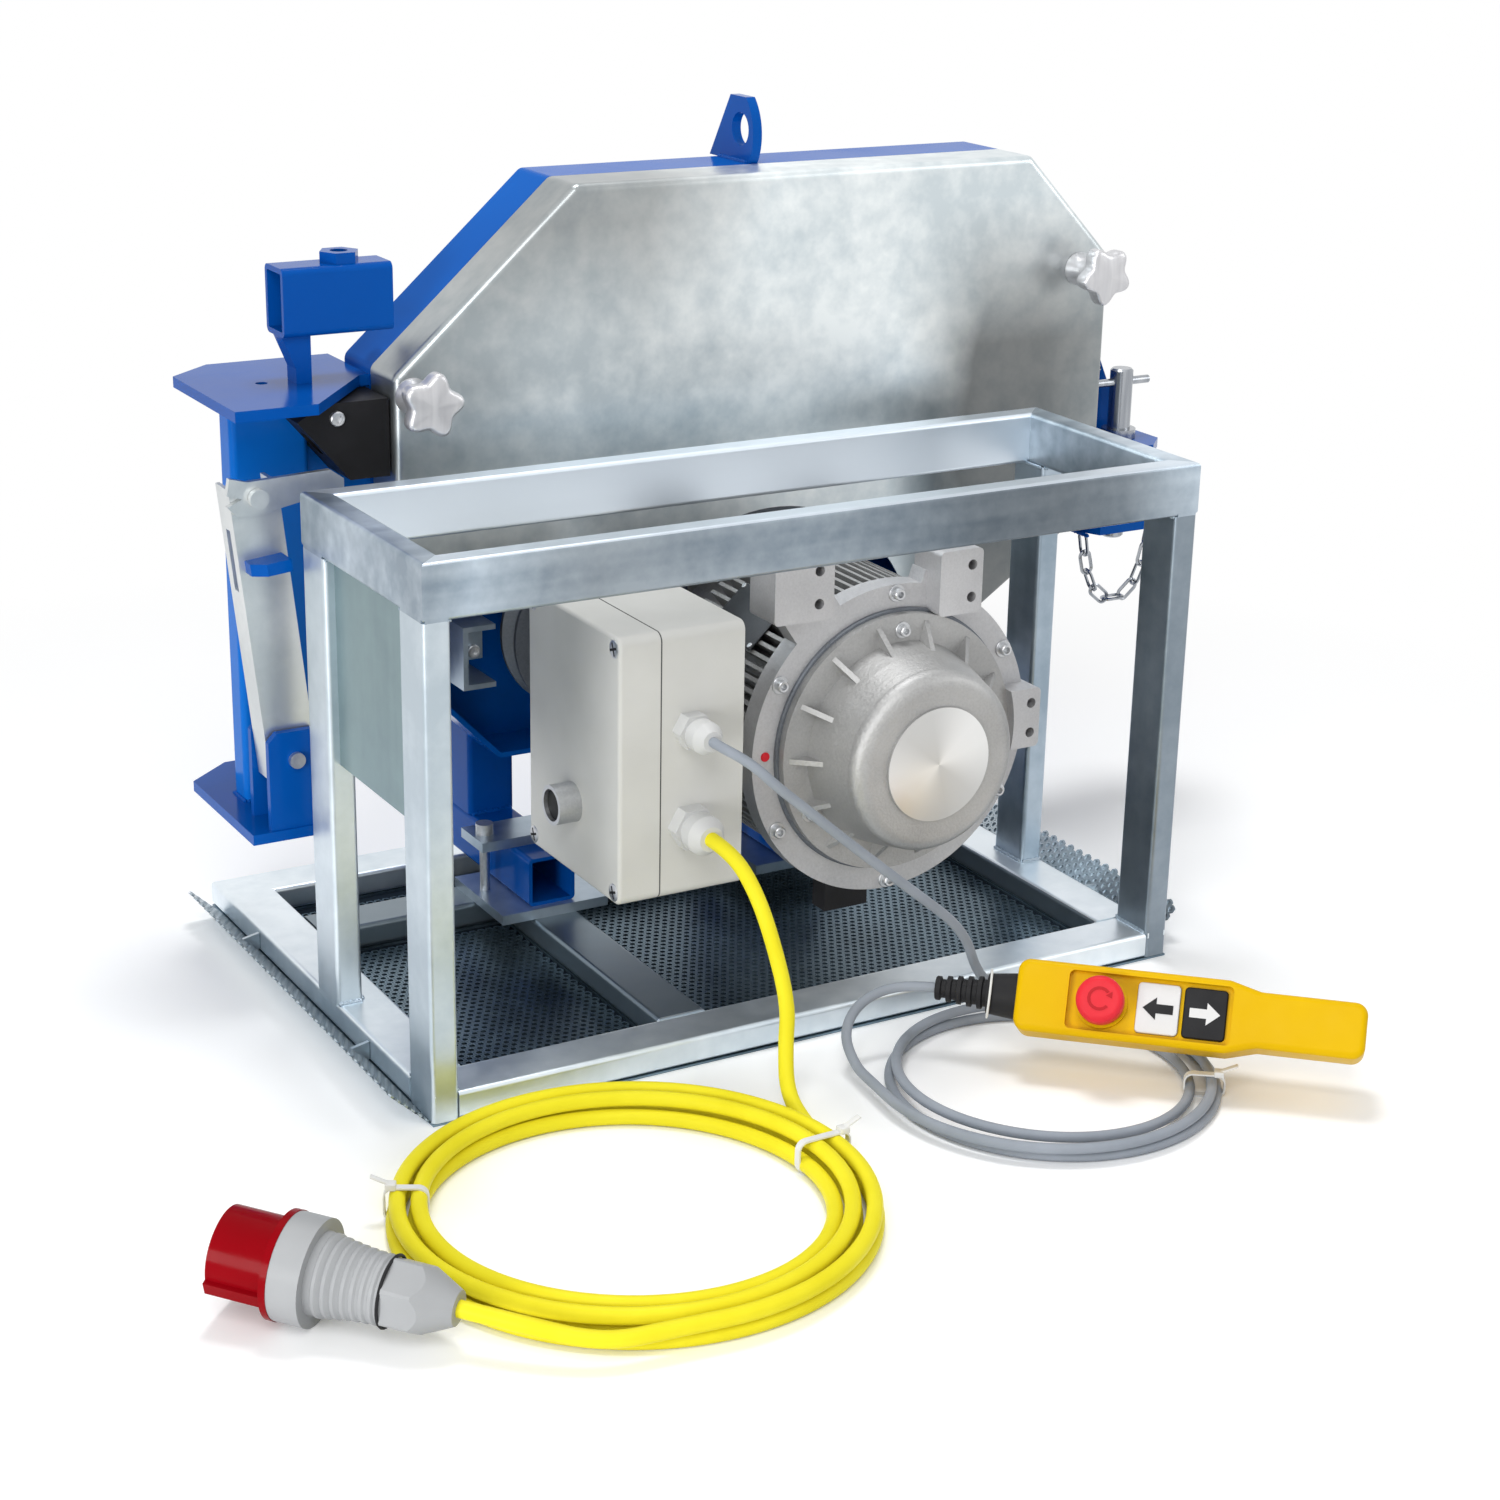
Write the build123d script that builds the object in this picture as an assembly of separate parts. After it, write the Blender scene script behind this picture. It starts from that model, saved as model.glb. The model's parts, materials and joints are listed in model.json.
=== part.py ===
from build123d import *
import os
from math import atan2, cos, degrees, hypot, pi, radians, sin, tan

os.makedirs("parts", exist_ok=True)

# Electric rope hoist on its carrying stand, in millimetres, seen from the front along +Y.
# Every place is measured from the stand's front left corner on the floor.
# The export moves the origin to the middle of the base, on the floor.

# Stand
FRAME_L = 630.0
FRAME_D = 210.0
FRAME_H = 400.0
BASE_D = 440.0
TUBE_WIDE = 40.0
TUBE_THIN = 20.0
TUBE_WALL = 2.0
TUBE_ROUND = 3.5
SHEET_T = 2.0
LIP_OUT = 20.0
LIP_UP = 18.0
LIP_START = 1.5
GUSSET_T = 3.0
GUSSET_INSET = 110.0
SPINE_X = 196.0
CROSS_Y = 300.0
SIDE_PLATE_H = 152.0
SIDE_PLATE_T = 4.0
BASE_TOP = SHEET_T + TUBE_THIN
POST_TOP = FRAME_H - TUBE_WIDE

# Feet of the hoist and their clamps
FOOT = 40.0
FOOT_WALL = 3.0
FOOT_ROUND = 4.0
FOOT_REACH = 111.0
FOOT_GAP = 229.0
UPRIGHT_H = 260.0
CLAMP_L = 92.0
CLAMP_D = 92.0
CLAMP_TOP_D = 40.0
CLAMP_T = 8.0
CLAMP_BOLT_R = 4.0
CLAMP_BOLT_HEAD_R = 7.0
CLAMP_BOLT_HEAD_H = 9.0
CLAMP_BOLT_EDGE = 11.0
FIT = 0.06
FOOT_Z = BASE_TOP + CLAMP_T
FOOT_TOP = FOOT_Z + FOOT

# Drive housing: painted tray behind, zinc cover in front
REAR_GAP = 60.0
COVER_D = 46.0
COVER_T = 2.0
COVER_BEND = 6.0
CORNER_BEND = 8.0
TRAY_D = 50.0
TRAY_WALL = 4.0
TRAY_BACK = 6.0
TRAY_X = 99.0
TRAY_W = 641.0
TRAY_H = 455.0
TRAY_LIFT = 65.0
CUT_TOP_LEFT = (147.0, 131.0)
CUT_TOP_RIGHT = (83.0, 85.0)
CUT_LOW_RIGHT = (233.0, 156.0)
CUT_LOW_LEFT = (101.0, 105.0)
COVER_LOW = 165.0
COVER_GAP = 0.3
MOTOR_WINDOW_R = 138.0
ROPE_HOLE = 24.0
ROPE_LEAD = 20.0
ROPE_DOWN = 34.0
SEAM_Y = FRAME_D + REAR_GAP + COVER_D
COVER_Y = SEAM_Y - COVER_D
BACK_Y = SEAM_Y + TRAY_D
PLATE_Y = BACK_Y - TRAY_BACK
TRAY_Z = FOOT_TOP + TRAY_LIFT
TRAY_TOP = TRAY_Z + TRAY_H
TRAY_RIGHT = TRAY_X + TRAY_W
ROPE_Y = SEAM_Y - ROPE_LEAD

# Lifting eye
EYE_X = 420.0
EYE_T = 8.0
EYE_LENGTH = 62.0
EYE_HEIGHT = 50.0
EYE_HOLE_R = 13.0
EYE_HOLE_UP = 25.0
EYE_HOLE_IN = 14.0
EYE_NOSE_R = 20.0
EYE_CROWN = 16.0

# Sheaves and rollers
SHEAVE_X = 445.0
SHEAVE_UP = 293.0
SHEAVE_R = 148.0
SHEAVE_W = 30.0
SHEAVE_HUB_R = 36.0
SHEAVE_SHAFT_R = 22.0
GROOVE_DEEP = 12.0
RIM_DEEP = 26.0
WEB_T = 10.0
WEB_HOLES = 6
WEB_HOLE_R = 24.0
DEFLECTOR_X = 265.0
DEFLECTOR_UP = 104.0
DEFLECTOR_R = 66.0
DEFLECTOR_W = 28.0
DEFLECTOR_AXLE_R = 10.0
ROLLER_R = 22.0
ROLLER_W = 24.0
ROLLER_AXLE_R = 8.0
ROLLER_ANGLES = (-5.0, -45.0)
ROLLER_GAP = 0.6
YOKE_T = 8.0
YOKE_R = 20.0
WASHER_T = 4.0
WASHER_OVER = 5.0
STUD_R = 5.0
SHEAVE_Z = TRAY_Z + SHEAVE_UP
DEFLECTOR_Z = TRAY_Z + DEFLECTOR_UP

# Motor and gearbox
MOTOR_X = 421.0
MOTOR_UP = 53.0
GEAR_CASE_D = 28.0
GEAR_CASE_R = 46.0
GEAR_TOP_R = 58.0
REDUCER_R = 80.0
REDUCER_D = 96.0
MOTOR_D = 130.0
MOTOR_CORE_R = 98.0
FIN_R = 115.0
FIN_T = 3.0
FIN_STEP = 9.0
MOTOR_BORE_R = 84.0
ROTOR_R = 60.0
ROTOR_INSET = 26.0
ROTOR_SHAFT_R = 14.0
SHIELD_R = 122.0
SHIELD_T = 18.0
LUG_T = 36.0
LUG_SIZES = ((50.0, 50.0), (38.0, 50.0), (34.0, 48.0))
LUG_PLACES = ((-91.0, 134.0), (46.0, 122.0), (108.0, 4.0))
LUG_WEB = 44.0
LUG_HOLE_R = 4.0
BRAKE_FLANGE_R = 101.0
BRAKE_FLANGE_T = 10.0
BRAKE_BASE_R = 80.0
BRAKE_BASE_D = 22.0
BRAKE_DOME_R = 71.0
BRAKE_DOME_D = 34.0
BRAKE_DOME_ROUND = 12.0
BRAKE_DISC_R = 44.5
BRAKE_DISC_H = 2.0
BRAKE_RIBS = 14
BRAKE_RIB_T = 4.0
BRAKE_WALL = 5.0
STOP_W = 38.0
STOP_DROP = 20.0
STOP_OFF = 36.0
MOTOR_Z = TRAY_Z + MOTOR_UP
GEAR_Y = PLATE_Y - GEAR_CASE_D
MOTOR_REAR_Y = GEAR_Y - REDUCER_D
SHIELD_REAR_Y = MOTOR_REAR_Y - MOTOR_D
SHIELD_Y = SHIELD_REAR_Y - SHIELD_T
BRAKE_REAR_Y = SHIELD_Y

# Control box on the motor's left side
BOX_X = 166.0
BOX_W = 100.0
BOX_D = 145.0
BOX_H = 200.0
BOX_Z = 114.0
BOX_LID_W = 33.0
BOX_WALL = 3.0
BOX_ROUND = 7.0
BOX_BACK_LEAD = 46.0
NECK_D = 50.0
NECK_H = 60.0
NECK_UP = 36.0
COLLAR_R = 15.0
COLLAR_BORE_R = 12.0
COLLAR_H = 18.0
BUTTON_GAP = 0.3
BUTTON_H = 10.0
BUTTON_STEM_R = 6.0
BUTTON_STEM_L = 11.0
BUTTON_TRAVEL = 4.0
BUTTON_BACK = 72.0
BUTTON_UP = 57.0
GLAND_IN = 56.0
GLAND_UPPER_UP = 127.0
GLAND_LOWER_UP = 54.0
GLAND_UPPER_R = 14.0
GLAND_LOWER_R = 17.0
GLAND_HEX_L = 12.0
GLAND_DOME_L = 22.0
BOX_Y = MOTOR_REAR_Y - BOX_BACK_LEAD - BOX_D

# Left mounting column
COLUMN_X = -14.0
COLUMN_W = 60.0
COLUMN_D = 26.0
COLUMN_WALL = 4.0
COLUMN_TOP_UP = 310.0
COLUMN_LEAD = 8.0
PLATE_T = 8.0
PLATE_HOLE_R = 4.5
PLATE_LEFT = -34.0
PLATE_FRONT = 76.0
PLATE_REAR = 84.0
PLATE_CLIP = (36.0, 30.0)
TOP_PLATE_CLIP_X = 28.0
BOTTOM_PLATE_UP = 2.0
BOTTOM_PLATE_W = 72.0
WEB_PLATE_T = 8.0
WEB_PLATE_H = 195.0
SOCKET_L = 85.0
SOCKET_H = 50.0
SOCKET_D = 35.0
SOCKET_WALL = 4.0
SOCKET_X = 27.0
SOCKET_UP = 35.0
POST_W = 12.0
POST_IN = 11.0
POST_WEB = (10.0, 24.0)
BOSS_W = 30.0
BOSS_H = 8.0
BOSS_HOLE_R = 6.5
GUIDE_D = 44.0
GUIDE_H = 58.0
GUIDE_W = 71.0
GUIDE_BORE_R = 9.0
GUIDE_GAP = 2.0
COLUMN_BOTTOM = TRAY_Z + BOTTOM_PLATE_UP
COLUMN_TOP = TRAY_Z + COLUMN_TOP_UP
COLUMN_Y = SEAM_Y - COLUMN_LEAD

# Tension lever and latch
LEVER_X = 2.0
LEVER_UP = 53.0
LEVER_W = 37.0
LEVER_D = 26.0
LEVER_L = 208.0
LEVER_TAIL = 16.0
LEVER_WALL = 3.0
LEVER_TILT = 6.0
LEVER_BACK = 32.0
LEVER_PIN_R = 6.0
LEVER_SLOT = (8.0, 46.0)
LEVER_SLOT_UP = 130.0
LEVER_SIDE_GAP = 2.0
CHEEK_T = 6.0
CHEEK_W = 42.0
CHEEK_H = 75.0
PIN_END = 4.0
LATCH_T = 5.0
LATCH_ARM = 66.0
LATCH_HOOK = 22.0
LATCH_H = 24.0
LATCH_BOLT_R = 4.0
LATCH_HEAD_R = 7.0
LATCH_HEAD_H = 6.0
LATCH_GAP = 0.3
LATCH_DOWN = 8.0
TAB_W = 28.0
TAB_REACH = 20.0
TAB_T = 9.0
TAB_UP = 146.0
LEVER_Z = COLUMN_BOTTOM + LEVER_UP
LEVER_Y = COLUMN_Y - LEVER_BACK - LEVER_D

# Anchor fork and pin on the right end
FORK_BACK_T = 8.0
FORK_BACK_H = 211.0
FORK_T = 8.0
FORK_REACH = 90.0
FORK_FRONT = 33.0
FORK_CLIP = 20.0
FORK_WEB_T = 6.0
FORK_WEB_REACH = 67.0
FORK_WEB_END = 16.0
FORK_WEB_TOP = 12.0
FORK_LOW_UP = 124.0
FORK_OPEN = 59.0
PIN_R = 10.0
PIN_BACK = 5.0
PIN_IN = 60.0
PIN_L = 150.0
PIN_BELOW = 14.0
PIN_COLLAR_R = 15.0
PIN_COLLAR_H = 8.0
PIN_BAR_L = 57.0
PIN_BAR_R = 3.5
PIN_BAR_DOWN = 12.0
CHAIN_WIRE_R = 1.5
CHAIN_LINK_L = 24.0
CHAIN_LINK_W = 13.0
CHAIN_GAP = 0.4
CHAIN_UPPER_LINKS = 4
CHAIN_FALL = (80.0, 76.0, 66.0, 40.0)
CHAIN_LEAN = 24.0
CHAIN_STUD_R = 2.5

# Bracket channel beside the lower sheave
CHANNEL_X = 146.0
CHANNEL_UP = 80.0
CHANNEL_W = 27.0
CHANNEL_H = 50.0
CHANNEL_WALL = 4.0
CHANNEL_LEAD = 54.0
CHANNEL_BOLT_R = 7.5
CHANNEL_BOLT_H = 8.0

# Star knobs
KNOB_R = 25.0
KNOB_LOBES = 5
KNOB_H = 15.0
KNOB_NECK_R = 10.0
KNOB_NECK_L = 30.0
KNOB_BORE_DEEP = 38.0
KNOB_LEFT_IN = 13.0
KNOB_LEFT_UP = 310.0
KNOB_RIGHT_IN = 32.0
KNOB_RIGHT_UP = 361.0

# Pendant control, lying on its side on its own coil
PENDANT_L = 246.0
PENDANT_HEAD_L = 150.0
PENDANT_TAPER = 22.0
PENDANT_W = 52.0
PENDANT_GRIP_W = 40.0
PENDANT_T = 44.0
PENDANT_ROUND = 9.0
PENDANT_FACE_ROUND = 4.5
PENDANT_TURN = -43.0
PENDANT_ROLL = 58.0
PENDANT_AT = (428.0, -86.0)
PENDANT_LOW = 16.6
ESTOP_AT = 61.0
ESTOP_R = 17.0
ESTOP_H = 14.0
ESTOP_STEM_R = 8.0
ESTOP_STEM_L = 16.0
ESTOP_LIFT = 10.0
ESTOP_TRAVEL = 5.0
ESTOP_COLLAR_R = 18.5
ESTOP_COLLAR_H = 4.5
KEY_L = 30.0
KEY_W = 36.0
KEY_OUT = 3.0
KEY_IN = 4.0
KEY_GAP = 0.3
KEY_POCKET = 9.0
KEY_AT = (101.0, 134.0)
RECESS_DEEP = 6.0
RECESS_W = 42.0
RECESS_FROM = 37.0
RECESS_TO = 153.0
RECESS_ROUND = 4.0
BELLOWS_L = 60.0
BELLOWS_R = 17.0
BELLOWS_TIP_R = 8.0
BELLOWS_SLEEVE_L = 22.0
BELLOWS_RIDGES = 5

# Mains cord, its plug and coil
MAINS_D = 11.0
MAINS_AT = (60.0, -177.0)
MAINS_R = 160.0
MAINS_STEP = 14.0
MAINS_START = 5.0
MAINS_TURNS = 4.0 + 110.0 / 360.0
MAINS_LIFT = 0.2
LAYER_GAP = 0.6
PLUG_END = (-101.0, -266.0, 27.5)
PLUG_TURN = 132.5
PLUG_TILT = 4.0
PLUG_CAP_L = 43.0
PLUG_BODY_L = 46.0
PLUG_COLLAR_L = 20.0
PLUG_SHROUD_L = 42.0
PLUG_CAP_TIP_R = 11.0
PLUG_CAP_R = 22.5
PLUG_CAP_FLAT = 20.0
PLUG_WAIST_R = 20.5
PLUG_BODY_R = 26.0
PLUG_COLLAR_R = 33.5
PLUG_SHROUD_R = 28.0
PLUG_SHROUD_WALL = 3.0
PLUG_RIM_R = 34.0
PLUG_RIM_T = 4.5
PLUG_PIN_R = 3.0
PLUG_PIN_L = 30.0
PLUG_PIN_CIRCLE = 15.0
PLUG_PINS = 5
PLUG_KEY = (9.0, 3.0)
PLUG_KEY_TURN = 250.0
PLUG_RIBS = 7

# Pendant cord and coil
LEAD_D = 7.5
LEAD_AT = (412.0, -142.0)
LEAD_R = 126.0
LEAD_STEP = 20.0
LEAD_START = 45.0
LEAD_TURNS = 2.0 + 240.0 / 360.0
LEAD_LIFT = 0.2

nodes = {}


def keep(name, *solids):
    nodes[name] = solids


def block(x, y, z):
    middle = [(side[0] + side[1]) / 2 for side in (x, y, z)]
    return Pos(*middle) * Box(x[1] - x[0], y[1] - y[0], z[1] - z[0])


def along_y(sketch, y0, y1):
    return extrude(Plane.XZ.offset(-y1) * sketch, amount=y1 - y0)


def plate_xz(points, y0, y1, corner=0.0):
    face = make_face(Polyline(*points, close=True))
    if corner:
        face = fillet(face.vertices(), corner)
    return along_y(face, y0, y1)


def plate_xy(points, z0, z1):
    face = make_face(Polyline(*points, close=True))
    return extrude(Plane.XY.offset(z0) * face, amount=z1 - z0)


def rod_x(r, x0, x1, y, z):
    return Pos((x0 + x1) / 2, y, z) * Rot(0, 90, 0) * Cylinder(r, x1 - x0)


def rod_y(r, y0, y1, x, z):
    return Pos(x, (y0 + y1) / 2, z) * Rot(90, 0, 0) * Cylinder(r, y1 - y0)


def rod_z(r, z0, z1, x, y):
    return Pos(x, y, (z0 + z1) / 2) * Cylinder(r, z1 - z0)


def turned_y(profile, x, z):
    face = make_face(Polyline(*profile, close=True))
    return Pos(x, 0, z) * revolve(face, Axis.Y)


def tube(length, wide, high, wall, corner):
    outer = RectangleRounded(wide, high, corner)
    inner = RectangleRounded(wide - 2 * wall, high - 2 * wall, corner - wall)
    return extrude(outer - inner, amount=length)


def tube_x(x0, x1, y, z, wall=TUBE_WALL, corner=TUBE_ROUND):
    bar = tube(x1 - x0, y[1] - y[0], z[1] - z[0], wall, corner)
    return Pos(x0, (y[0] + y[1]) / 2, (z[0] + z[1]) / 2) * Plane.YZ.location * bar


def tube_y(y0, y1, x, z, wall=TUBE_WALL, corner=TUBE_ROUND):
    bar = tube(y1 - y0, x[1] - x[0], z[1] - z[0], wall, corner)
    return Pos((x[0] + x[1]) / 2, y1, (z[0] + z[1]) / 2) * Plane.XZ.location * bar


def tube_z(z0, z1, x, y, wall=TUBE_WALL, corner=TUBE_ROUND):
    bar = tube(z1 - z0, x[1] - x[0], y[1] - y[0], wall, corner)
    return Pos((x[0] + x[1]) / 2, (y[0] + y[1]) / 2, z0) * bar


def mitred_tubes(x, y, z, across):
    left, right = x
    front, rear = y
    inner = (left + across, right - across, front + across, rear - across)
    height = (z[0] - TUBE_WALL, z[1] + TUBE_WALL)
    corners = [(left, front), (right, front), (right, rear), (left, rear)]
    inside = [(inner[0], inner[2]), (inner[1], inner[2]), (inner[1], inner[3]), (inner[0], inner[3])]
    tubes = [
        tube_x(left, right, (front, inner[2]), z),
        tube_y(front, rear, (inner[1], right), z),
        tube_x(left, right, (inner[3], rear), z),
        tube_y(front, rear, (left, inner[0]), z),
    ]
    cut = []
    for index, bar in enumerate(tubes):
        after = (index + 1) % 4
        wedge = [corners[index], corners[after], inside[after], inside[index]]
        cut.append(bar & plate_xy(wedge, *height))
    return cut


def stand():
    low = (SHEET_T, BASE_TOP)
    right = FRAME_L
    wide = TUBE_WIDE
    thin = TUBE_THIN
    front_cut = block((-LIP_OUT, right + LIP_OUT), (-LIP_OUT, wide), (0, FRAME_H))
    rim = mitred_tubes((0, right), (0, BASE_D), low, wide)
    keep(
        "base_frame",
        tube_x(thin, right - thin, (0, wide), low),
        rim[1] - front_cut,
        rim[2],
        rim[3] - front_cut,
        tube_x(wide, right - wide, (CROSS_Y, CROSS_Y + wide), low),
        tube_y(wide, CROSS_Y, (SPINE_X, SPINE_X + wide), low),
    )
    left_post = (0, thin)
    right_post = (right - thin, right)
    keep("front_left_post", tube_z(SHEET_T, POST_TOP, left_post, (0, wide)))
    keep("front_right_post", tube_z(SHEET_T, POST_TOP, right_post, (0, wide)))
    keep("rear_left_post", tube_z(BASE_TOP, POST_TOP, left_post, (FRAME_D - wide, FRAME_D)))
    keep("rear_right_post", tube_z(BASE_TOP, POST_TOP, right_post, (FRAME_D - wide, FRAME_D)))
    keep("top_ring", *mitred_tubes((0, right), (0, FRAME_D), (POST_TOP, FRAME_H), thin))
    middle = thin / 2
    side = (middle - SIDE_PLATE_T / 2, middle + SIDE_PLATE_T / 2)
    keep("side_plate", block(side, (wide, FRAME_D - wide), (POST_TOP - SIDE_PLATE_H, POST_TOP)))


def skid():
    slope = LIP_UP / (LIP_OUT - LIP_START)
    rise = SHEET_T * hypot(1, slope)
    bend = (rise - SHEET_T) / slope
    left = [(-LIP_OUT, LIP_UP), (-LIP_START, 0)]
    right = [(FRAME_L + LIP_START, 0), (FRAME_L + LIP_OUT, LIP_UP)]
    right_top = [(FRAME_L + LIP_OUT, LIP_UP + rise), (FRAME_L + LIP_START - bend, SHEET_T)]
    left_top = [(bend - LIP_START, SHEET_T), (-LIP_OUT, LIP_UP + rise)]
    sheet = plate_xz(left + right + right_top + left_top, 0, BASE_D)
    low = SHEET_T + TUBE_ROUND
    high = BASE_TOP - TUBE_ROUND
    out = 0.8 * LIP_OUT
    near = LIP_START + 1.0
    out_z = slope * (out - LIP_START) + rise
    near_z = slope * (near - LIP_START) + rise
    web = [(0, low), (0, high), (-out, out_z), (-near, near_z)]
    for y in (GUSSET_INSET, BASE_D - GUSSET_INSET):
        gusset = plate_xz(web, y, y + GUSSET_T)
        sheet += gusset
        sheet += mirror(gusset, Plane.YZ.offset(FRAME_L / 2))
    keep("skid_sheet", sheet)


def foot_middle(index):
    return SPINE_X + FOOT / 2 + index * FOOT_GAP


def clamp_bolt_places():
    places = []
    for index in (0, 1):
        for side in (-1, 1):
            places.append(foot_middle(index) + side * (CLAMP_L / 2 - CLAMP_BOLT_EDGE))
    return places


def foot_supports():
    clamp_front = CROSS_Y + TUBE_WIDE - CLAMP_D
    bolt_y = CROSS_Y + CLAMP_TOP_D / 8
    clamps = []
    for index, name in ((0, "left_foot"), (1, "right_foot")):
        middle = foot_middle(index)
        side = (middle - FOOT / 2, middle + FOOT / 2)
        plate = (middle - CLAMP_L / 2, middle + CLAMP_L / 2)
        rear = BACK_Y + FOOT
        runner = tube_y(BACK_Y - FOOT_REACH, rear, side, (FOOT_Z, FOOT_TOP), FOOT_WALL, FOOT_ROUND)
        upright = tube_z(FOOT_TOP, FOOT_TOP + UPRIGHT_H, side, (BACK_Y, rear), FOOT_WALL, FOOT_ROUND)
        keep(name, runner + upright)
        lower = block(plate, (clamp_front, clamp_front + CLAMP_D), (BASE_TOP, FOOT_Z))
        upper_y = (bolt_y - CLAMP_TOP_D / 2, bolt_y + CLAMP_TOP_D / 2)
        upper = block(plate, upper_y, (FOOT_TOP, FOOT_TOP + CLAMP_T))
        clamps += [lower, upper]
    bolts = []
    for x in clamp_bolt_places():
        hole = rod_z(CLAMP_BOLT_R + FIT, BASE_TOP, FOOT_TOP + CLAMP_T, x, bolt_y)
        clamps = [clamp - hole for clamp in clamps]
        head_z = FOOT_TOP + CLAMP_T
        shank = rod_z(CLAMP_BOLT_R, BASE_TOP, head_z, x, bolt_y)
        bolts.append(shank + rod_z(CLAMP_BOLT_HEAD_R, head_z, head_z + CLAMP_BOLT_HEAD_H, x, bolt_y))
    keep("foot_clamps", *clamps)
    keep("clamp_bolts", *bolts)


def housing_outline():
    left, right, low, top = TRAY_X, TRAY_RIGHT, TRAY_Z, TRAY_TOP
    return [
        (left, top - CUT_TOP_LEFT[1]),
        (left + CUT_TOP_LEFT[0], top),
        (right - CUT_TOP_RIGHT[0], top),
        (right, top - CUT_TOP_RIGHT[1]),
        (right, low + CUT_LOW_RIGHT[1]),
        (right - CUT_LOW_RIGHT[0], low),
        (left + CUT_LOW_LEFT[0], low),
        (left, low + CUT_LOW_LEFT[1]),
    ]


def housing_face(inset):
    face = make_face(Polyline(*housing_outline(), close=True))
    if inset:
        face = offset(face, -inset, kind=Kind.INTERSECTION)
    return fillet(face.vertices(), CORNER_BEND - inset)


def tray_shell():
    outer = along_y(housing_face(0), SEAM_Y, BACK_Y)
    return outer - along_y(housing_face(TRAY_WALL), SEAM_Y, PLATE_Y)


def cover_shell():
    rear = SEAM_Y - COVER_GAP
    outer = along_y(housing_face(0), COVER_Y, rear)
    outer = fillet(outer.faces().sort_by(Axis.Y)[0].edges(), COVER_BEND)
    inner = along_y(housing_face(COVER_T), COVER_Y + COVER_T, rear)
    inner = fillet(inner.faces().sort_by(Axis.Y)[0].edges(), COVER_BEND - COVER_T)
    return outer - inner


def knob_places():
    left = (TRAY_X + KNOB_LEFT_IN, TRAY_Z + KNOB_LEFT_UP)
    right = (TRAY_RIGHT - KNOB_RIGHT_IN, TRAY_Z + KNOB_RIGHT_UP)
    return {"left_knob": left, "right_knob": right}


def rope_z():
    return COLUMN_TOP - ROPE_DOWN


def housing():
    tray = tray_shell()
    cover = cover_shell()
    reach = (TRAY_X - LIP_OUT, MOTOR_X)
    depth = (COVER_Y - COVER_T, SEAM_Y + COVER_T)
    cover -= block(reach, depth, (TRAY_Z - LIP_OUT, TRAY_Z + COVER_LOW))
    cover -= block((MOTOR_X, MOTOR_X + MOTOR_WINDOW_R), depth, (TRAY_Z - LIP_OUT, MOTOR_Z))
    cover -= rod_y(MOTOR_WINDOW_R, depth[0], depth[1], MOTOR_X, MOTOR_Z)
    for x, z in knob_places().values():
        cover -= rod_y(STUD_R + BUTTON_GAP, depth[0], SEAM_Y - COVER_GAP, x, z)
    half = ROPE_HOLE / 2
    wall = (TRAY_X - TRAY_WALL, TRAY_X + 2 * TRAY_WALL)
    hole = block(wall, (ROPE_Y - half, ROPE_Y + half), (rope_z() - half, rope_z() + half))
    keep("tray", tray - hole)
    keep("cover", cover - hole)


def lifting_eye():
    front = SEAM_Y + COVER_T
    hole = (front + EYE_HOLE_IN, TRAY_TOP + EYE_HOLE_UP)
    top = TRAY_TOP + EYE_HEIGHT
    crown = (hole[0] - EYE_CROWN / 2, top)
    back = Polyline((front, TRAY_TOP), (front + EYE_LENGTH, TRAY_TOP), (hole[0] + EYE_CROWN, top), crown)
    nose = ThreePointArc(crown, (hole[0] - EYE_NOSE_R, hole[1]), (front, TRAY_TOP))
    eye = extrude(Plane.YZ.offset(EYE_X) * make_face(back + nose), amount=EYE_T)
    keep("lifting_eye", eye - rod_x(EYE_HOLE_R, EYE_X, EYE_X + EYE_T, *hole))


def grooved_wheel(radius, width, hub_r, bore_r, rim):
    half = width / 2
    web = WEB_T / 2
    lip = half * 0.25
    inner = radius - rim
    profile = [
        (bore_r, -half),
        (hub_r, -half),
        (hub_r, -web),
        (inner, -web),
        (inner, -half),
        (radius, -half),
        (radius, -half + lip),
        (radius - GROOVE_DEEP, -lip),
        (radius - GROOVE_DEEP, lip),
        (radius, half - lip),
        (radius, half),
        (inner, half),
        (inner, web),
        (hub_r, web),
        (hub_r, half),
        (bore_r, half),
    ]
    return revolve(make_face(Polyline(*profile, close=True)), Axis.Y)


def roller_places():
    reach = SHEAVE_R + ROLLER_R + ROLLER_GAP
    places = []
    for angle in ROLLER_ANGLES:
        places.append((SHEAVE_X + reach * cos(radians(angle)), SHEAVE_Z + reach * sin(radians(angle))))
    return places


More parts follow.
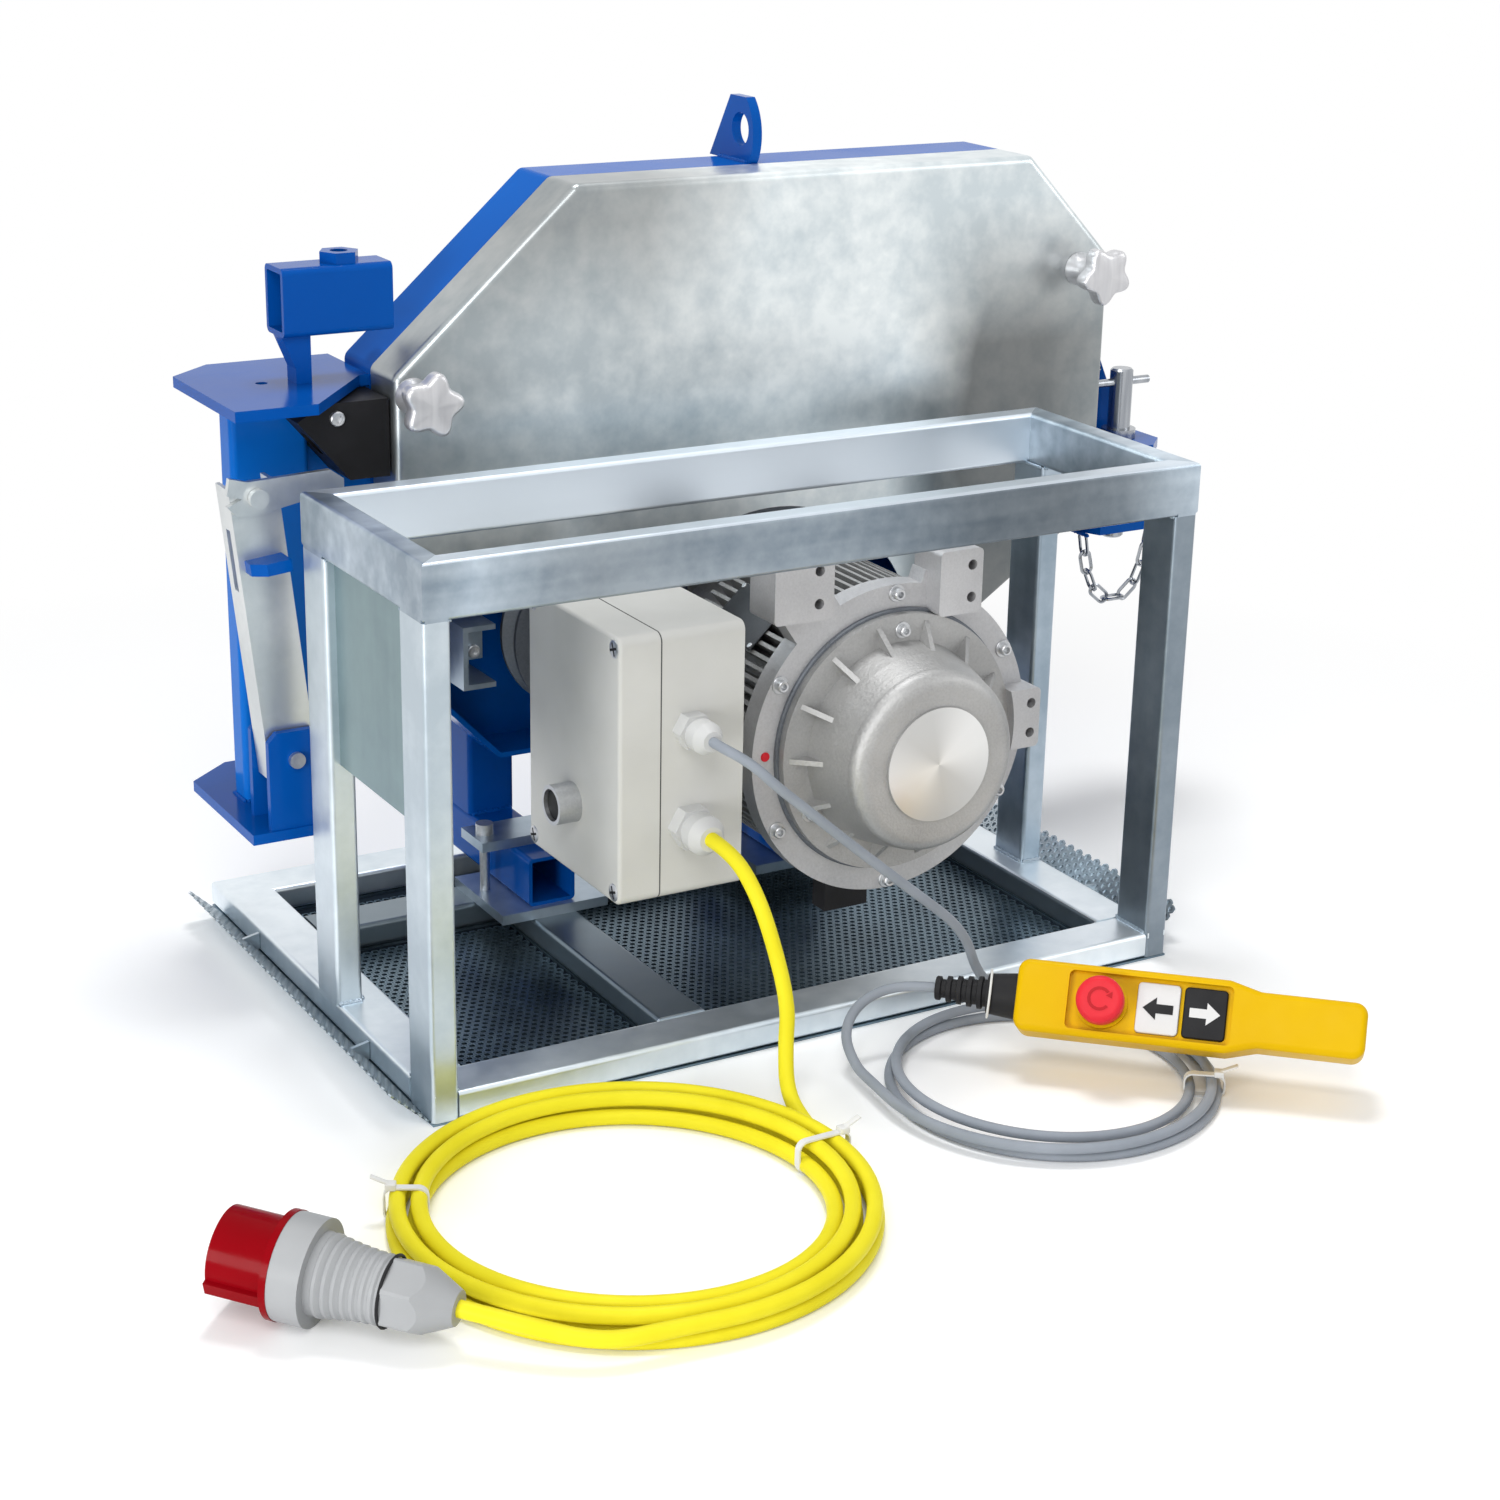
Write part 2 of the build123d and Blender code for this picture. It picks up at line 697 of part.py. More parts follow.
def rope_wheels():
    wheel = grooved_wheel(SHEAVE_R, SHEAVE_W, SHEAVE_HUB_R, 1.0, RIM_DEEP)
    ring = (SHEAVE_HUB_R + SHEAVE_R - RIM_DEEP) / 2
    for index in range(WEB_HOLES):
        angle = 2 * pi * index / WEB_HOLES
        wheel -= rod_y(WEB_HOLE_R, -SHEAVE_W, SHEAVE_W, ring * cos(angle), ring * sin(angle))
    wheel = Pos(SHEAVE_X, ROPE_Y, SHEAVE_Z) * wheel
    shaft_end = GEAR_Y + GEAR_CASE_D * 0.7
    wheel += rod_y(SHEAVE_SHAFT_R, ROPE_Y - SHEAVE_W / 2, shaft_end, SHEAVE_X, SHEAVE_Z)
    keep("drive_sheave", wheel)

    bore = DEFLECTOR_AXLE_R + FIT
    small = grooved_wheel(DEFLECTOR_R, DEFLECTOR_W, 2 * DEFLECTOR_AXLE_R, bore, RIM_DEEP / 2)
    keep("deflector_sheave", Pos(DEFLECTOR_X, ROPE_Y, DEFLECTOR_Z) * small)

    fixed = []
    face = ROPE_Y + DEFLECTOR_W / 2 + BUTTON_GAP
    front = ROPE_Y - DEFLECTOR_W / 2 - BUTTON_GAP
    axle = rod_y(DEFLECTOR_AXLE_R, front - WASHER_T, PLATE_Y, DEFLECTOR_X, DEFLECTOR_Z)
    axle += rod_y(2 * DEFLECTOR_AXLE_R, face, PLATE_Y, DEFLECTOR_X, DEFLECTOR_Z)
    axle += rod_y(DEFLECTOR_AXLE_R + WASHER_OVER, front - WASHER_T, front, DEFLECTOR_X, DEFLECTOR_Z)
    fixed.append(axle)

    places = roller_places()
    circles = [Pos(x, z) * Circle(YOKE_R) for x, z in places]
    edges = [edge for circle in circles for edge in circle.edges()]
    yoke = along_y(make_hull(edges), PLATE_Y - YOKE_T, PLATE_Y)
    roller_front = ROPE_Y - ROLLER_W / 2 - BUTTON_GAP
    for name, (x, z) in zip(("upper_roller", "lower_roller"), places):
        yoke += rod_y(ROLLER_AXLE_R, roller_front - WASHER_T, PLATE_Y, x, z)
        yoke += rod_y(ROLLER_AXLE_R + WASHER_OVER, ROPE_Y + ROLLER_W / 2 + BUTTON_GAP, PLATE_Y, x, z)
        yoke += rod_y(ROLLER_AXLE_R + WASHER_OVER, roller_front - WASHER_T, roller_front, x, z)
        roller = rod_y(ROLLER_R, ROPE_Y - ROLLER_W / 2, ROPE_Y + ROLLER_W / 2, x, z)
        keep(name, roller - rod_y(ROLLER_AXLE_R + FIT, BACK_Y - 2 * ROPE_Y, BACK_Y, x, z))
    fixed.append(yoke)
    stud_front = COVER_Y - KNOB_BORE_DEEP + WASHER_T
    for x, z in knob_places().values():
        fixed.append(rod_y(STUD_R, stud_front, PLATE_Y, x, z))
    keep("inner_axles", *fixed)


def gearbox():
    low = Pos(MOTOR_X, MOTOR_Z) * Circle(GEAR_CASE_R)
    high = Pos(SHEAVE_X, SHEAVE_Z) * Circle(GEAR_TOP_R)
    case = along_y(make_hull(low.edges() + high.edges()), GEAR_Y, PLATE_Y)
    case += rod_y(GEAR_CASE_R, MOTOR_REAR_Y, GEAR_Y, MOTOR_X, MOTOR_Z)
    case += rod_y(REDUCER_R, MOTOR_REAR_Y, SEAM_Y - COVER_T, MOTOR_X, MOTOR_Z)
    bore_end = GEAR_Y + GEAR_CASE_D * 0.7 + BUTTON_GAP
    case -= rod_y(SHEAVE_SHAFT_R + FIT, GEAR_Y, bore_end, SHEAVE_X, SHEAVE_Z)
    case -= rod_y(ROTOR_SHAFT_R + FIT, MOTOR_REAR_Y, MOTOR_REAR_Y + GEAR_CASE_D, MOTOR_X, MOTOR_Z)
    keep("gearbox", case)


def motor():
    count = int(2 * pi * FIN_R / FIN_STEP)
    section = Circle(MOTOR_CORE_R)
    for index in range(count):
        middle = (MOTOR_CORE_R + FIN_R) / 2 - FIN_T / 2
        fin = Pos(middle, 0) * Rectangle(FIN_R - MOTOR_CORE_R + FIN_T, FIN_T)
        section += Rot(0, 0, 360 * index / count) * fin
    body = Pos(MOTOR_X, 0, MOTOR_Z) * along_y(section, SHIELD_REAR_Y, MOTOR_REAR_Y)
    neck_y = (BOX_Y + BOX_D - NECK_D - BOX_ROUND, BOX_Y + BOX_D - BOX_ROUND)
    neck_z = (BOX_Z + NECK_UP, BOX_Z + NECK_UP + NECK_H)
    body += block((BOX_X + BOX_W, MOTOR_X - MOTOR_BORE_R), neck_y, neck_z)
    cavity_front = SHIELD_REAR_Y
    cavity_rear = MOTOR_REAR_Y - BRAKE_WALL
    body -= rod_y(MOTOR_BORE_R, cavity_front, cavity_rear, MOTOR_X, MOTOR_Z)
    body -= rod_y(ROTOR_SHAFT_R + FIT, cavity_rear, MOTOR_REAR_Y, MOTOR_X, MOTOR_Z)
    keep("motor_body", body)

    stator_gap = BUTTON_GAP
    rotor = rod_y(ROTOR_R, SHIELD_REAR_Y + ROTOR_INSET, cavity_rear - ROTOR_INSET, MOTOR_X, MOTOR_Z)
    shaft_front = BRAKE_REAR_Y - BRAKE_FLANGE_T - BRAKE_BASE_D
    rotor += rod_y(ROTOR_SHAFT_R, shaft_front, MOTOR_REAR_Y + GEAR_CASE_D - stator_gap, MOTOR_X, MOTOR_Z)
    rotor += rod_y(BRAKE_DISC_R, shaft_front + WASHER_T, shaft_front + 3 * WASHER_T, MOTOR_X, MOTOR_Z)
    keep("motor_rotor", rotor)

    shield = rod_y(SHIELD_R, SHIELD_Y, SHIELD_REAR_Y, MOTOR_X, MOTOR_Z)
    for (across, up), (wide, high) in zip(LUG_PLACES, LUG_SIZES):
        x = MOTOR_X + across
        z = MOTOR_Z + up
        reach = hypot(across, up)
        web = Rot(0, 0, degrees(atan2(up, across))) * Pos(reach / 2, 0) * Rectangle(reach, LUG_WEB)
        shield += Pos(MOTOR_X, 0, MOTOR_Z) * along_y(web, SHIELD_Y, SHIELD_REAR_Y)
        lug_face = Pos(x, z) * RectangleRounded(wide, high, LUG_HOLE_R)
        lug = along_y(lug_face, SHIELD_REAR_Y - LUG_T, SHIELD_REAR_Y)
        for side in (-1, 1):
            lug -= rod_y(LUG_HOLE_R, SHIELD_REAR_Y - LUG_T, SHIELD_Y, x + wide / 4, z + side * high / 4)
        shield += lug
    shield -= rod_y(ROTOR_SHAFT_R + FIT, SHIELD_Y - LUG_T, SHIELD_REAR_Y, MOTOR_X, MOTOR_Z)
    shield -= rod_y(BRAKE_FLANGE_R, SHIELD_Y - LUG_T, SHIELD_Y, MOTOR_X, MOTOR_Z)
    keep("end_shield", shield)

    rear = BRAKE_REAR_Y
    flange = rear - BRAKE_FLANGE_T
    base = flange - BRAKE_BASE_D
    dome = base - BRAKE_DOME_D
    face = [
        (0, dome),
        (BRAKE_DISC_R, dome),
        (BRAKE_DISC_R, dome + BRAKE_DISC_H),
        (BRAKE_DOME_R - BRAKE_DOME_ROUND, dome + BRAKE_DISC_H),
    ]
    rounding_start = (BRAKE_DOME_R - BRAKE_DOME_ROUND, dome + BRAKE_DISC_H)
    rounding_end = (BRAKE_DOME_R, dome + BRAKE_DISC_H + BRAKE_DOME_ROUND)
    side = [
        rounding_end,
        (BRAKE_DOME_R + BRAKE_WALL, base),
        (BRAKE_BASE_R, flange),
        (BRAKE_FLANGE_R, flange),
        (BRAKE_FLANGE_R, rear),
        (BRAKE_DOME_R - BRAKE_WALL, rear),
        (BRAKE_DOME_R - BRAKE_WALL, base),
        (BRAKE_DOME_R - 2 * BRAKE_WALL, base - BRAKE_DOME_ROUND),
        (0, base - BRAKE_DOME_ROUND),
        (0, dome),
    ]
    rounding = RadiusArc(rounding_start, rounding_end, -BRAKE_DOME_ROUND)
    outline = Polyline(*face) + rounding + Polyline(*side)
    brake = revolve(make_face(outline), Axis.Y)
    rib_in = BRAKE_DOME_R
    rib_out = BRAKE_FLANGE_R - BRAKE_WALL
    rib_side = make_face(Polyline((rib_in, flange), (rib_out, flange), (rib_in, base), close=True))
    for index in range(BRAKE_RIBS):
        rib = extrude(rib_side, amount=BRAKE_RIB_T / 2, both=True)
        brake += Rot(0, 360 * index / BRAKE_RIBS, 0) * rib
    keep("brake_cover", Pos(MOTOR_X, 0, MOTOR_Z) * brake)

    stop_x = (MOTOR_X - STOP_OFF - STOP_W / 2, MOTOR_X - STOP_OFF + STOP_W / 2)
    stop_z = (MOTOR_Z - SHIELD_R - STOP_DROP / 2, MOTOR_Z - SHIELD_R + STOP_DROP)
    stop = block(stop_x, (SHIELD_Y, SHIELD_REAR_Y), stop_z)
    keep("rubber_stop", stop - rod_y(SHIELD_R, SHIELD_Y, SHIELD_REAR_Y, MOTOR_X, MOTOR_Z))


def control_box():
    y_mid = BOX_Y + BOX_D / 2
    z_mid = BOX_Z + BOX_H / 2
    seam = BOX_X + BOX_LID_W
    outer = RectangleRounded(BOX_D, BOX_H, BOX_ROUND)
    inner = RectangleRounded(BOX_D - 2 * BOX_WALL, BOX_H - 2 * BOX_WALL, BOX_ROUND - BOX_WALL)
    plane = Plane.YZ.offset(0)
    lid = extrude(plane.offset(BOX_X) * (Pos(y_mid, z_mid) * outer), amount=BOX_LID_W)
    lid = fillet(lid.faces().sort_by(Axis.X)[0].edges(), BOX_WALL)
    lid -= extrude(plane.offset(BOX_X + BOX_WALL) * (Pos(y_mid, z_mid) * inner), amount=BOX_LID_W)
    base = extrude(plane.offset(seam) * (Pos(y_mid, z_mid) * outer), amount=BOX_W - BOX_LID_W)
    base -= extrude(plane.offset(seam) * (Pos(y_mid, z_mid) * inner), amount=BOX_W - BOX_LID_W - BOX_WALL)
    button_y = BOX_Y + BUTTON_BACK
    button_z = BOX_Z + BUTTON_UP
    lid -= rod_x(BUTTON_STEM_R + FIT, BOX_X, BOX_X + BOX_WALL, button_y, button_z)
    keep("box_lid", lid)
    keep("box_base", base)
    collar = rod_x(COLLAR_R, BOX_X - COLLAR_H, BOX_X, button_y, button_z)
    keep("button_collar", collar - rod_x(COLLAR_BORE_R, BOX_X - COLLAR_H, BOX_X, button_y, button_z))
    rear = BOX_X - BUTTON_TRAVEL - 1.0
    button = rod_x(COLLAR_BORE_R - BUTTON_GAP, rear - BUTTON_H, rear, button_y, button_z)
    keep("box_button", button + rod_x(BUTTON_STEM_R, rear, rear + BUTTON_STEM_L, button_y, button_z))


def gland_places():
    x = BOX_X + GLAND_IN
    return ((x, BOX_Z + GLAND_UPPER_UP, GLAND_UPPER_R), (x, BOX_Z + GLAND_LOWER_UP, GLAND_LOWER_R))


def cable_glands():
    glands = []
    hex_end = BOX_Y - GLAND_HEX_L
    tip = hex_end - GLAND_DOME_L
    for x, z, r in gland_places():
        hexagon = along_y(Pos(x, z) * RegularPolygon(r, 6), hex_end, BOX_Y)
        ring = r * cos(pi / 6)
        profile = [
            (0, hex_end),
            (ring - 2.0, hex_end),
            (ring - 2.0, hex_end - 2.0),
            (ring, hex_end - 4.0),
            (ring, tip + 8.0),
            (ring * 0.62, tip),
            (0, tip),
        ]
        glands.append(hexagon + turned_y(profile, x, z))
    keep("cable_glands", *glands)


def left_mount():
    left = PLATE_LEFT
    front = SEAM_Y - PLATE_FRONT
    rear = SEAM_Y + PLATE_REAR
    joint = SEAM_Y + COVER_T
    top = [
        (left, front),
        (TOP_PLATE_CLIP_X, front),
        (TRAY_X - PLATE_T, joint),
        (TRAY_X, joint),
        (TRAY_X, rear),
        (left + PLATE_CLIP[0], rear),
        (left, rear - PLATE_CLIP[1]),
    ]
    hole_at = (COLUMN_X + COLUMN_W / 2, COLUMN_Y + COLUMN_D / 2)
    hole = rod_z(PLATE_HOLE_R, COLUMN_TOP, COLUMN_TOP + PLATE_T, *hole_at)
    keep("top_plate", plate_xy(top, COLUMN_TOP, COLUMN_TOP + PLATE_T) - hole)
    bottom = [
        (left, front),
        (left + BOTTOM_PLATE_W, front),
        (left + BOTTOM_PLATE_W, rear),
        (left + PLATE_CLIP[0], rear),
        (left, rear - PLATE_CLIP[1]),
    ]
    floor = plate_xy(bottom, COLUMN_BOTTOM - PLATE_T, COLUMN_BOTTOM)
    half = CHEEK_W / 2
    clip = CHEEK_W / 6
    cheek = [
        (LEVER_X - half, COLUMN_BOTTOM),
        (LEVER_X + half, COLUMN_BOTTOM),
        (LEVER_X + half, COLUMN_BOTTOM + CHEEK_H - clip),
        (LEVER_X + half - clip, COLUMN_BOTTOM + CHEEK_H),
        (LEVER_X - half + clip, COLUMN_BOTTOM + CHEEK_H),
        (LEVER_X - half, COLUMN_BOTTOM + CHEEK_H - clip),
    ]
    near = LEVER_Y - LEVER_SIDE_GAP
    far = LEVER_Y + LEVER_D + LEVER_SIDE_GAP
    cheeks = plate_xz(cheek, near - CHEEK_T, near) + plate_xz(cheek, far, far + CHEEK_T)
    pin_hole = rod_y(LEVER_PIN_R, near - CHEEK_T, far + CHEEK_T, LEVER_X, LEVER_Z)
    keep("bottom_plate", floor + (cheeks - pin_hole))
    pin_y = (near - CHEEK_T - PIN_END, far + CHEEK_T + PIN_END)
    keep("lever_pin", rod_y(LEVER_PIN_R, *pin_y, LEVER_X, LEVER_Z))

    column_y = (COLUMN_Y, COLUMN_Y + COLUMN_D)
    column_x = (COLUMN_X, COLUMN_X + COLUMN_W)
    column = tube_z(COLUMN_BOTTOM, COLUMN_TOP, column_x, column_y, COLUMN_WALL, COLUMN_WALL + 1.0)
    web_y = (COLUMN_Y + COLUMN_D - WEB_PLATE_T - COLUMN_WALL, COLUMN_Y + COLUMN_D - COLUMN_WALL)
    web = block((COLUMN_X + COLUMN_W, TRAY_X), web_y, (COLUMN_TOP - WEB_PLATE_H, COLUMN_TOP))
    keep("column", column + web)

    socket_z = COLUMN_TOP + PLATE_T + SOCKET_UP
    socket_y = (COLUMN_Y - WEB_PLATE_T, COLUMN_Y - WEB_PLATE_T + SOCKET_D)
    socket_high = (socket_z, socket_z + SOCKET_H)
    socket_end = SOCKET_X + SOCKET_L
    socket = tube_x(SOCKET_X, socket_end, socket_y, socket_high, SOCKET_WALL, SOCKET_WALL + 1.0)
    post_x = (SOCKET_X + POST_IN, SOCKET_X + POST_IN + POST_W)
    post_y = (COLUMN_Y, COLUMN_Y + COLUMN_D - WEB_PLATE_T)
    socket += block(post_x, post_y, (COLUMN_TOP + PLATE_T, socket_z))
    web_side = [
        (post_x[0], socket_z),
        (post_x[0] - POST_WEB[0], socket_z),
        (post_x[0], socket_z - POST_WEB[1]),
    ]
    socket += plate_xz(web_side, *post_y)
    boss_x = SOCKET_X + SOCKET_L / 2 + BOSS_H
    boss_y = (socket_y[0] + socket_y[1]) / 2
    boss_top = socket_z + SOCKET_H + BOSS_H
    nut = extrude(RegularPolygon(BOSS_W / 2, 6), amount=BOSS_H)
    socket += Pos(boss_x, boss_y, boss_top - BOSS_H) * nut
    socket -= rod_z(BOSS_HOLE_R, boss_top - BOSS_H - SOCKET_WALL, boss_top, boss_x, boss_y)
    keep("tube_socket", socket)

    guide_top = COLUMN_TOP - GUIDE_GAP
    guide_right = TRAY_X - GUIDE_GAP
    guide = [
        (guide_right - GUIDE_W, guide_top - GUIDE_H * 0.2),
        (guide_right - GUIDE_W * 0.7, guide_top),
        (guide_right, guide_top),
        (guide_right, guide_top - GUIDE_H),
        (guide_right - GUIDE_W * 0.44, guide_top - GUIDE_H),
    ]
    guide_y = (web_y[0] - GUIDE_D, web_y[0])
    body = plate_xz(guide, *guide_y)
    body -= block(column_x, column_y, (COLUMN_BOTTOM, COLUMN_TOP))
    body -= rod_x(GUIDE_BORE_R, guide_right - GUIDE_W, guide_right, ROPE_Y, rope_z())
    keep("rope_guide", body)


def lever_and_latch():
    half = LEVER_W / 2
    top = LEVER_L
    web = block((-half, half), (0, LEVER_WALL), (-LEVER_TAIL, top))
    flange = block((-half, -half + LEVER_WALL), (0, LEVER_D), (-LEVER_TAIL, top))
    slot_z = (LEVER_SLOT_UP, LEVER_SLOT_UP + LEVER_SLOT[1])
    slot_y = (LEVER_D / 2 - LEVER_SLOT[0] / 2, LEVER_D / 2 + LEVER_SLOT[0] / 2)
    slotted = flange - block((-half, -half + LEVER_WALL), slot_y, slot_z)
    body = web + slotted + mirror(flange, Plane.YZ)
    body += block((-half, half), (0, LEVER_D), (-LEVER_TAIL, LEVER_TAIL))
    body -= rod_y(LEVER_PIN_R + FIT, 0, LEVER_D, 0, 0)
    bolt_z = top - LATCH_DOWN
    latch_rear = -LATCH_GAP
    latch_front = latch_rear - LATCH_T
    head_rear = latch_front - LATCH_GAP
    body += rod_y(LATCH_BOLT_R, head_rear, LEVER_WALL, 0, bolt_z)
    body += rod_y(LATCH_HEAD_R, head_rear - LATCH_HEAD_H, head_rear, 0, bolt_z)
    seat = Pos(LEVER_X, LEVER_Y, LEVER_Z) * Rot(0, -LEVER_TILT, 0)
    keep("tension_lever", seat * body)

    half_tab = TAB_W / 2
    tab = [
        (-half_tab, 0),
        (half_tab, 0),
        (half_tab, -TAB_REACH),
        (-half_tab / 3, -TAB_REACH),
        (-half_tab, -TAB_REACH * 0.55),
    ]
    keep("lever_tab", seat * plate_xy(tab, TAB_UP, TAB_UP + TAB_T))

    x, y, z = latch_pivot()
    rise = LATCH_H / 2
    shape = [
        (-LATCH_HOOK, rise * 0.3),
        (-LATCH_HOOK * 0.9, rise * 1.3),
        (-LATCH_HOOK * 0.3, rise),
        (LATCH_ARM * 0.85, rise * 1.2),
        (LATCH_ARM, rise * 0.6),
        (LATCH_ARM, 0),
        (LATCH_BOLT_R, -rise),
        (-LATCH_HOOK * 0.7, -rise),
        (-LATCH_HOOK, -rise * 0.4),
        (-LATCH_HOOK * 0.5, 0),
    ]
    placed = [(x + px, z + pz) for px, pz in shape]
    latch = plate_xz(placed, LEVER_Y + latch_front, LEVER_Y + latch_rear)
    keep("latch", latch - rod_y(LATCH_BOLT_R + FIT, LEVER_Y + latch_front, LEVER_Y + latch_rear, x, z))


def latch_pivot():
    reach = LEVER_L - LATCH_DOWN
    tilt = radians(LEVER_TILT)
    return (LEVER_X - reach * sin(tilt), LEVER_Y, LEVER_Z + reach * cos(tilt))


def chain_link():
    radius = CHAIN_LINK_W / 2 - CHAIN_WIRE_R
    run = (CHAIN_LINK_L - CHAIN_LINK_W) / 2
    path = Polyline((-run, radius), (run, radius))
    path += ThreePointArc((run, radius), (run + radius, 0), (run, -radius))
    path += Polyline((run, -radius), (-run, -radius))
    path += ThreePointArc((-run, -radius), (-run - radius, 0), (-run, radius))
    section = Plane(origin=(-run, radius, 0), z_dir=(1, 0, 0)) * RegularPolygon(CHAIN_WIRE_R, 6)
    return sweep(section, Wire(path.edges()))


def chain(start, angles, first_turn=0):
    pitch = CHAIN_LINK_L - 4 * CHAIN_WIRE_R - CHAIN_GAP
    link = chain_link()
    joint = Vector(*start)
    out = []
    for index, angle in enumerate(angles):
        step = Vector(cos(radians(angle)), 0, -sin(radians(angle))) * pitch
        middle = joint + step * 0.5
        turn = first_turn + 90 * (index % 2)
        out.append(Pos(*middle) * Rot(0, angle, 0) * Rot(turn, 0, 0) * link)
        joint += step
    return out


def anchor():
    wall = TRAY_RIGHT
    face = wall + FORK_BACK_T
    joint = SEAM_Y + COVER_T
    low = TRAY_Z + FORK_LOW_UP
    back = block((wall, face), (joint, BACK_Y), (low, low + FORK_BACK_H))
    front = SEAM_Y - FORK_FRONT
    end = wall + FORK_REACH
    arm = [
        (face, front + FORK_CLIP),
        (face + FORK_CLIP / 2, front),
        (end - FORK_CLIP, front),
        (end, front + FORK_CLIP),
        (end, BACK_Y - FORK_CLIP),
        (end - FORK_CLIP, BACK_Y),
        (face, BACK_Y),
    ]
    upper_z = low + FORK_T + FORK_OPEN
    pin_x = wall + PIN_IN
    pin_y = SEAM_Y + PIN_BACK
    fork = back + plate_xy(arm, low, low + FORK_T) + plate_xy(arm, upper_z, upper_z + FORK_T)
    web_low = upper_z + FORK_T
    web = [
        (face, web_low),
        (face + FORK_WEB_REACH, web_low),
        (face + FORK_WEB_REACH, web_low + FORK_WEB_END),
        (face + FORK_WEB_TOP, low + FORK_BACK_H),
        (face, low + FORK_BACK_H),
    ]
    web_y = BACK_Y - FORK_CLIP - FORK_WEB_T / 2
    fork += plate_xz(web, web_y, web_y + FORK_WEB_T)
    pin_low = low - PIN_BELOW
    pin_top = pin_low + PIN_L
    fork -= rod_z(PIN_R + FIT, pin_low, pin_top, pin_x, pin_y)
    hang_y = web_y - CHAIN_LINK_W / 2 - CHAIN_WIRE_R
    hook = (face + CHAIN_LINK_W / 2, hang_y, low + FORK_BACK_H - FORK_WEB_TOP)
    lean = radians(CHAIN_LEAN)
    stud = (hook[0] + CHAIN_STUD_R * sin(lean), hook[2] - CHAIN_STUD_R * cos(lean))
    fork += rod_y(CHAIN_STUD_R, hang_y - CHAIN_LINK_W / 2, web_y, *stud)
    keep("anchor_fork", fork)

    pin = rod_z(PIN_R, pin_low, pin_top, pin_x, pin_y)
    pin = chamfer(pin.faces().filter_by(Axis.Z).edges(), PIN_R / 6)
    seat = upper_z + FORK_T + LATCH_GAP
    pin += rod_z(PIN_COLLAR_R, seat, seat + PIN_COLLAR_H, pin_x, pin_y)
    pin += rod_x(PIN_BAR_R, pin_x - PIN_BAR_L / 2, pin_x + PIN_BAR_L / 2, pin_y, pin_top - PIN_BAR_DOWN)
    keep("anchor_pin", pin)

    links = chain(hook, [90 - CHAIN_LEAN] * CHAIN_UPPER_LINKS, 90)
    low_hook = (face + CHAIN_LINK_W / 2, front + FORK_CLIP, low - 2 * CHAIN_WIRE_R - CHAIN_GAP)
    falls = list(CHAIN_FALL)
    links += chain(low_hook, falls + [0] + [-angle for angle in reversed(falls)])
    keep("tether_chains", *links)


def bracket_channel():
    left = CHANNEL_X
    right = left + CHANNEL_W
    low = TRAY_Z + CHANNEL_UP
    top = low + CHANNEL_H
    wall = CHANNEL_WALL
    front = SEAM_Y - CHANNEL_LEAD
    shape = [
        (left, low),
        (right, low),
        (right, low + wall),
        (left + wall, low + wall),
        (left + wall, top - wall),
        (right, top - wall),
        (right, top),
        (left, top),
    ]
    channel = plate_xz(shape, front, PLATE_Y)
    plate_y = SEAM_Y
    inside = (left + wall, right)
    channel += block(inside, (plate_y - wall, plate_y), (low + wall, top - wall))
    middle = (left + wall + right) / 2
    centre = (low + top) / 2
    hexagon = Pos(middle, centre) * RegularPolygon(CHANNEL_BOLT_R, 6)
    seat = plate_y - wall
    keep("bracket_channel", channel + along_y(hexagon, seat - CHANNEL_BOLT_H, seat))


def star_knobs():
    star = Circle(KNOB_R * 0.62)
    lobe_ring = KNOB_R * 0.68
    lobe_r = KNOB_R - lobe_ring
    for index in range(KNOB_LOBES):
        angle = 2 * pi * index / KNOB_LOBES + pi / 2
        star += Pos(lobe_ring * cos(angle), lobe_ring * sin(angle)) * Circle(lobe_r)
    rear = COVER_Y - COVER_GAP
    neck = rear - KNOB_NECK_L
    front = neck - KNOB_H
    for name, (x, z) in knob_places().items():
        knob = along_y(Pos(x, z) * star, front, neck)
        knob += rod_y(KNOB_NECK_R, neck, rear, x, z)
        knob -= rod_y(STUD_R + FIT, rear - KNOB_BORE_DEEP, rear, x, z)
        keep(name, knob)


def pendant_seat():
    half = PENDANT_W / 2
    roll = radians(PENDANT_ROLL)
    low = half * sin(roll)
    height = PENDANT_LOW + low
    return Pos(*PENDANT_AT, height) * Rot(0, 0, PENDANT_TURN) * Rot(PENDANT_ROLL, 0, 0)


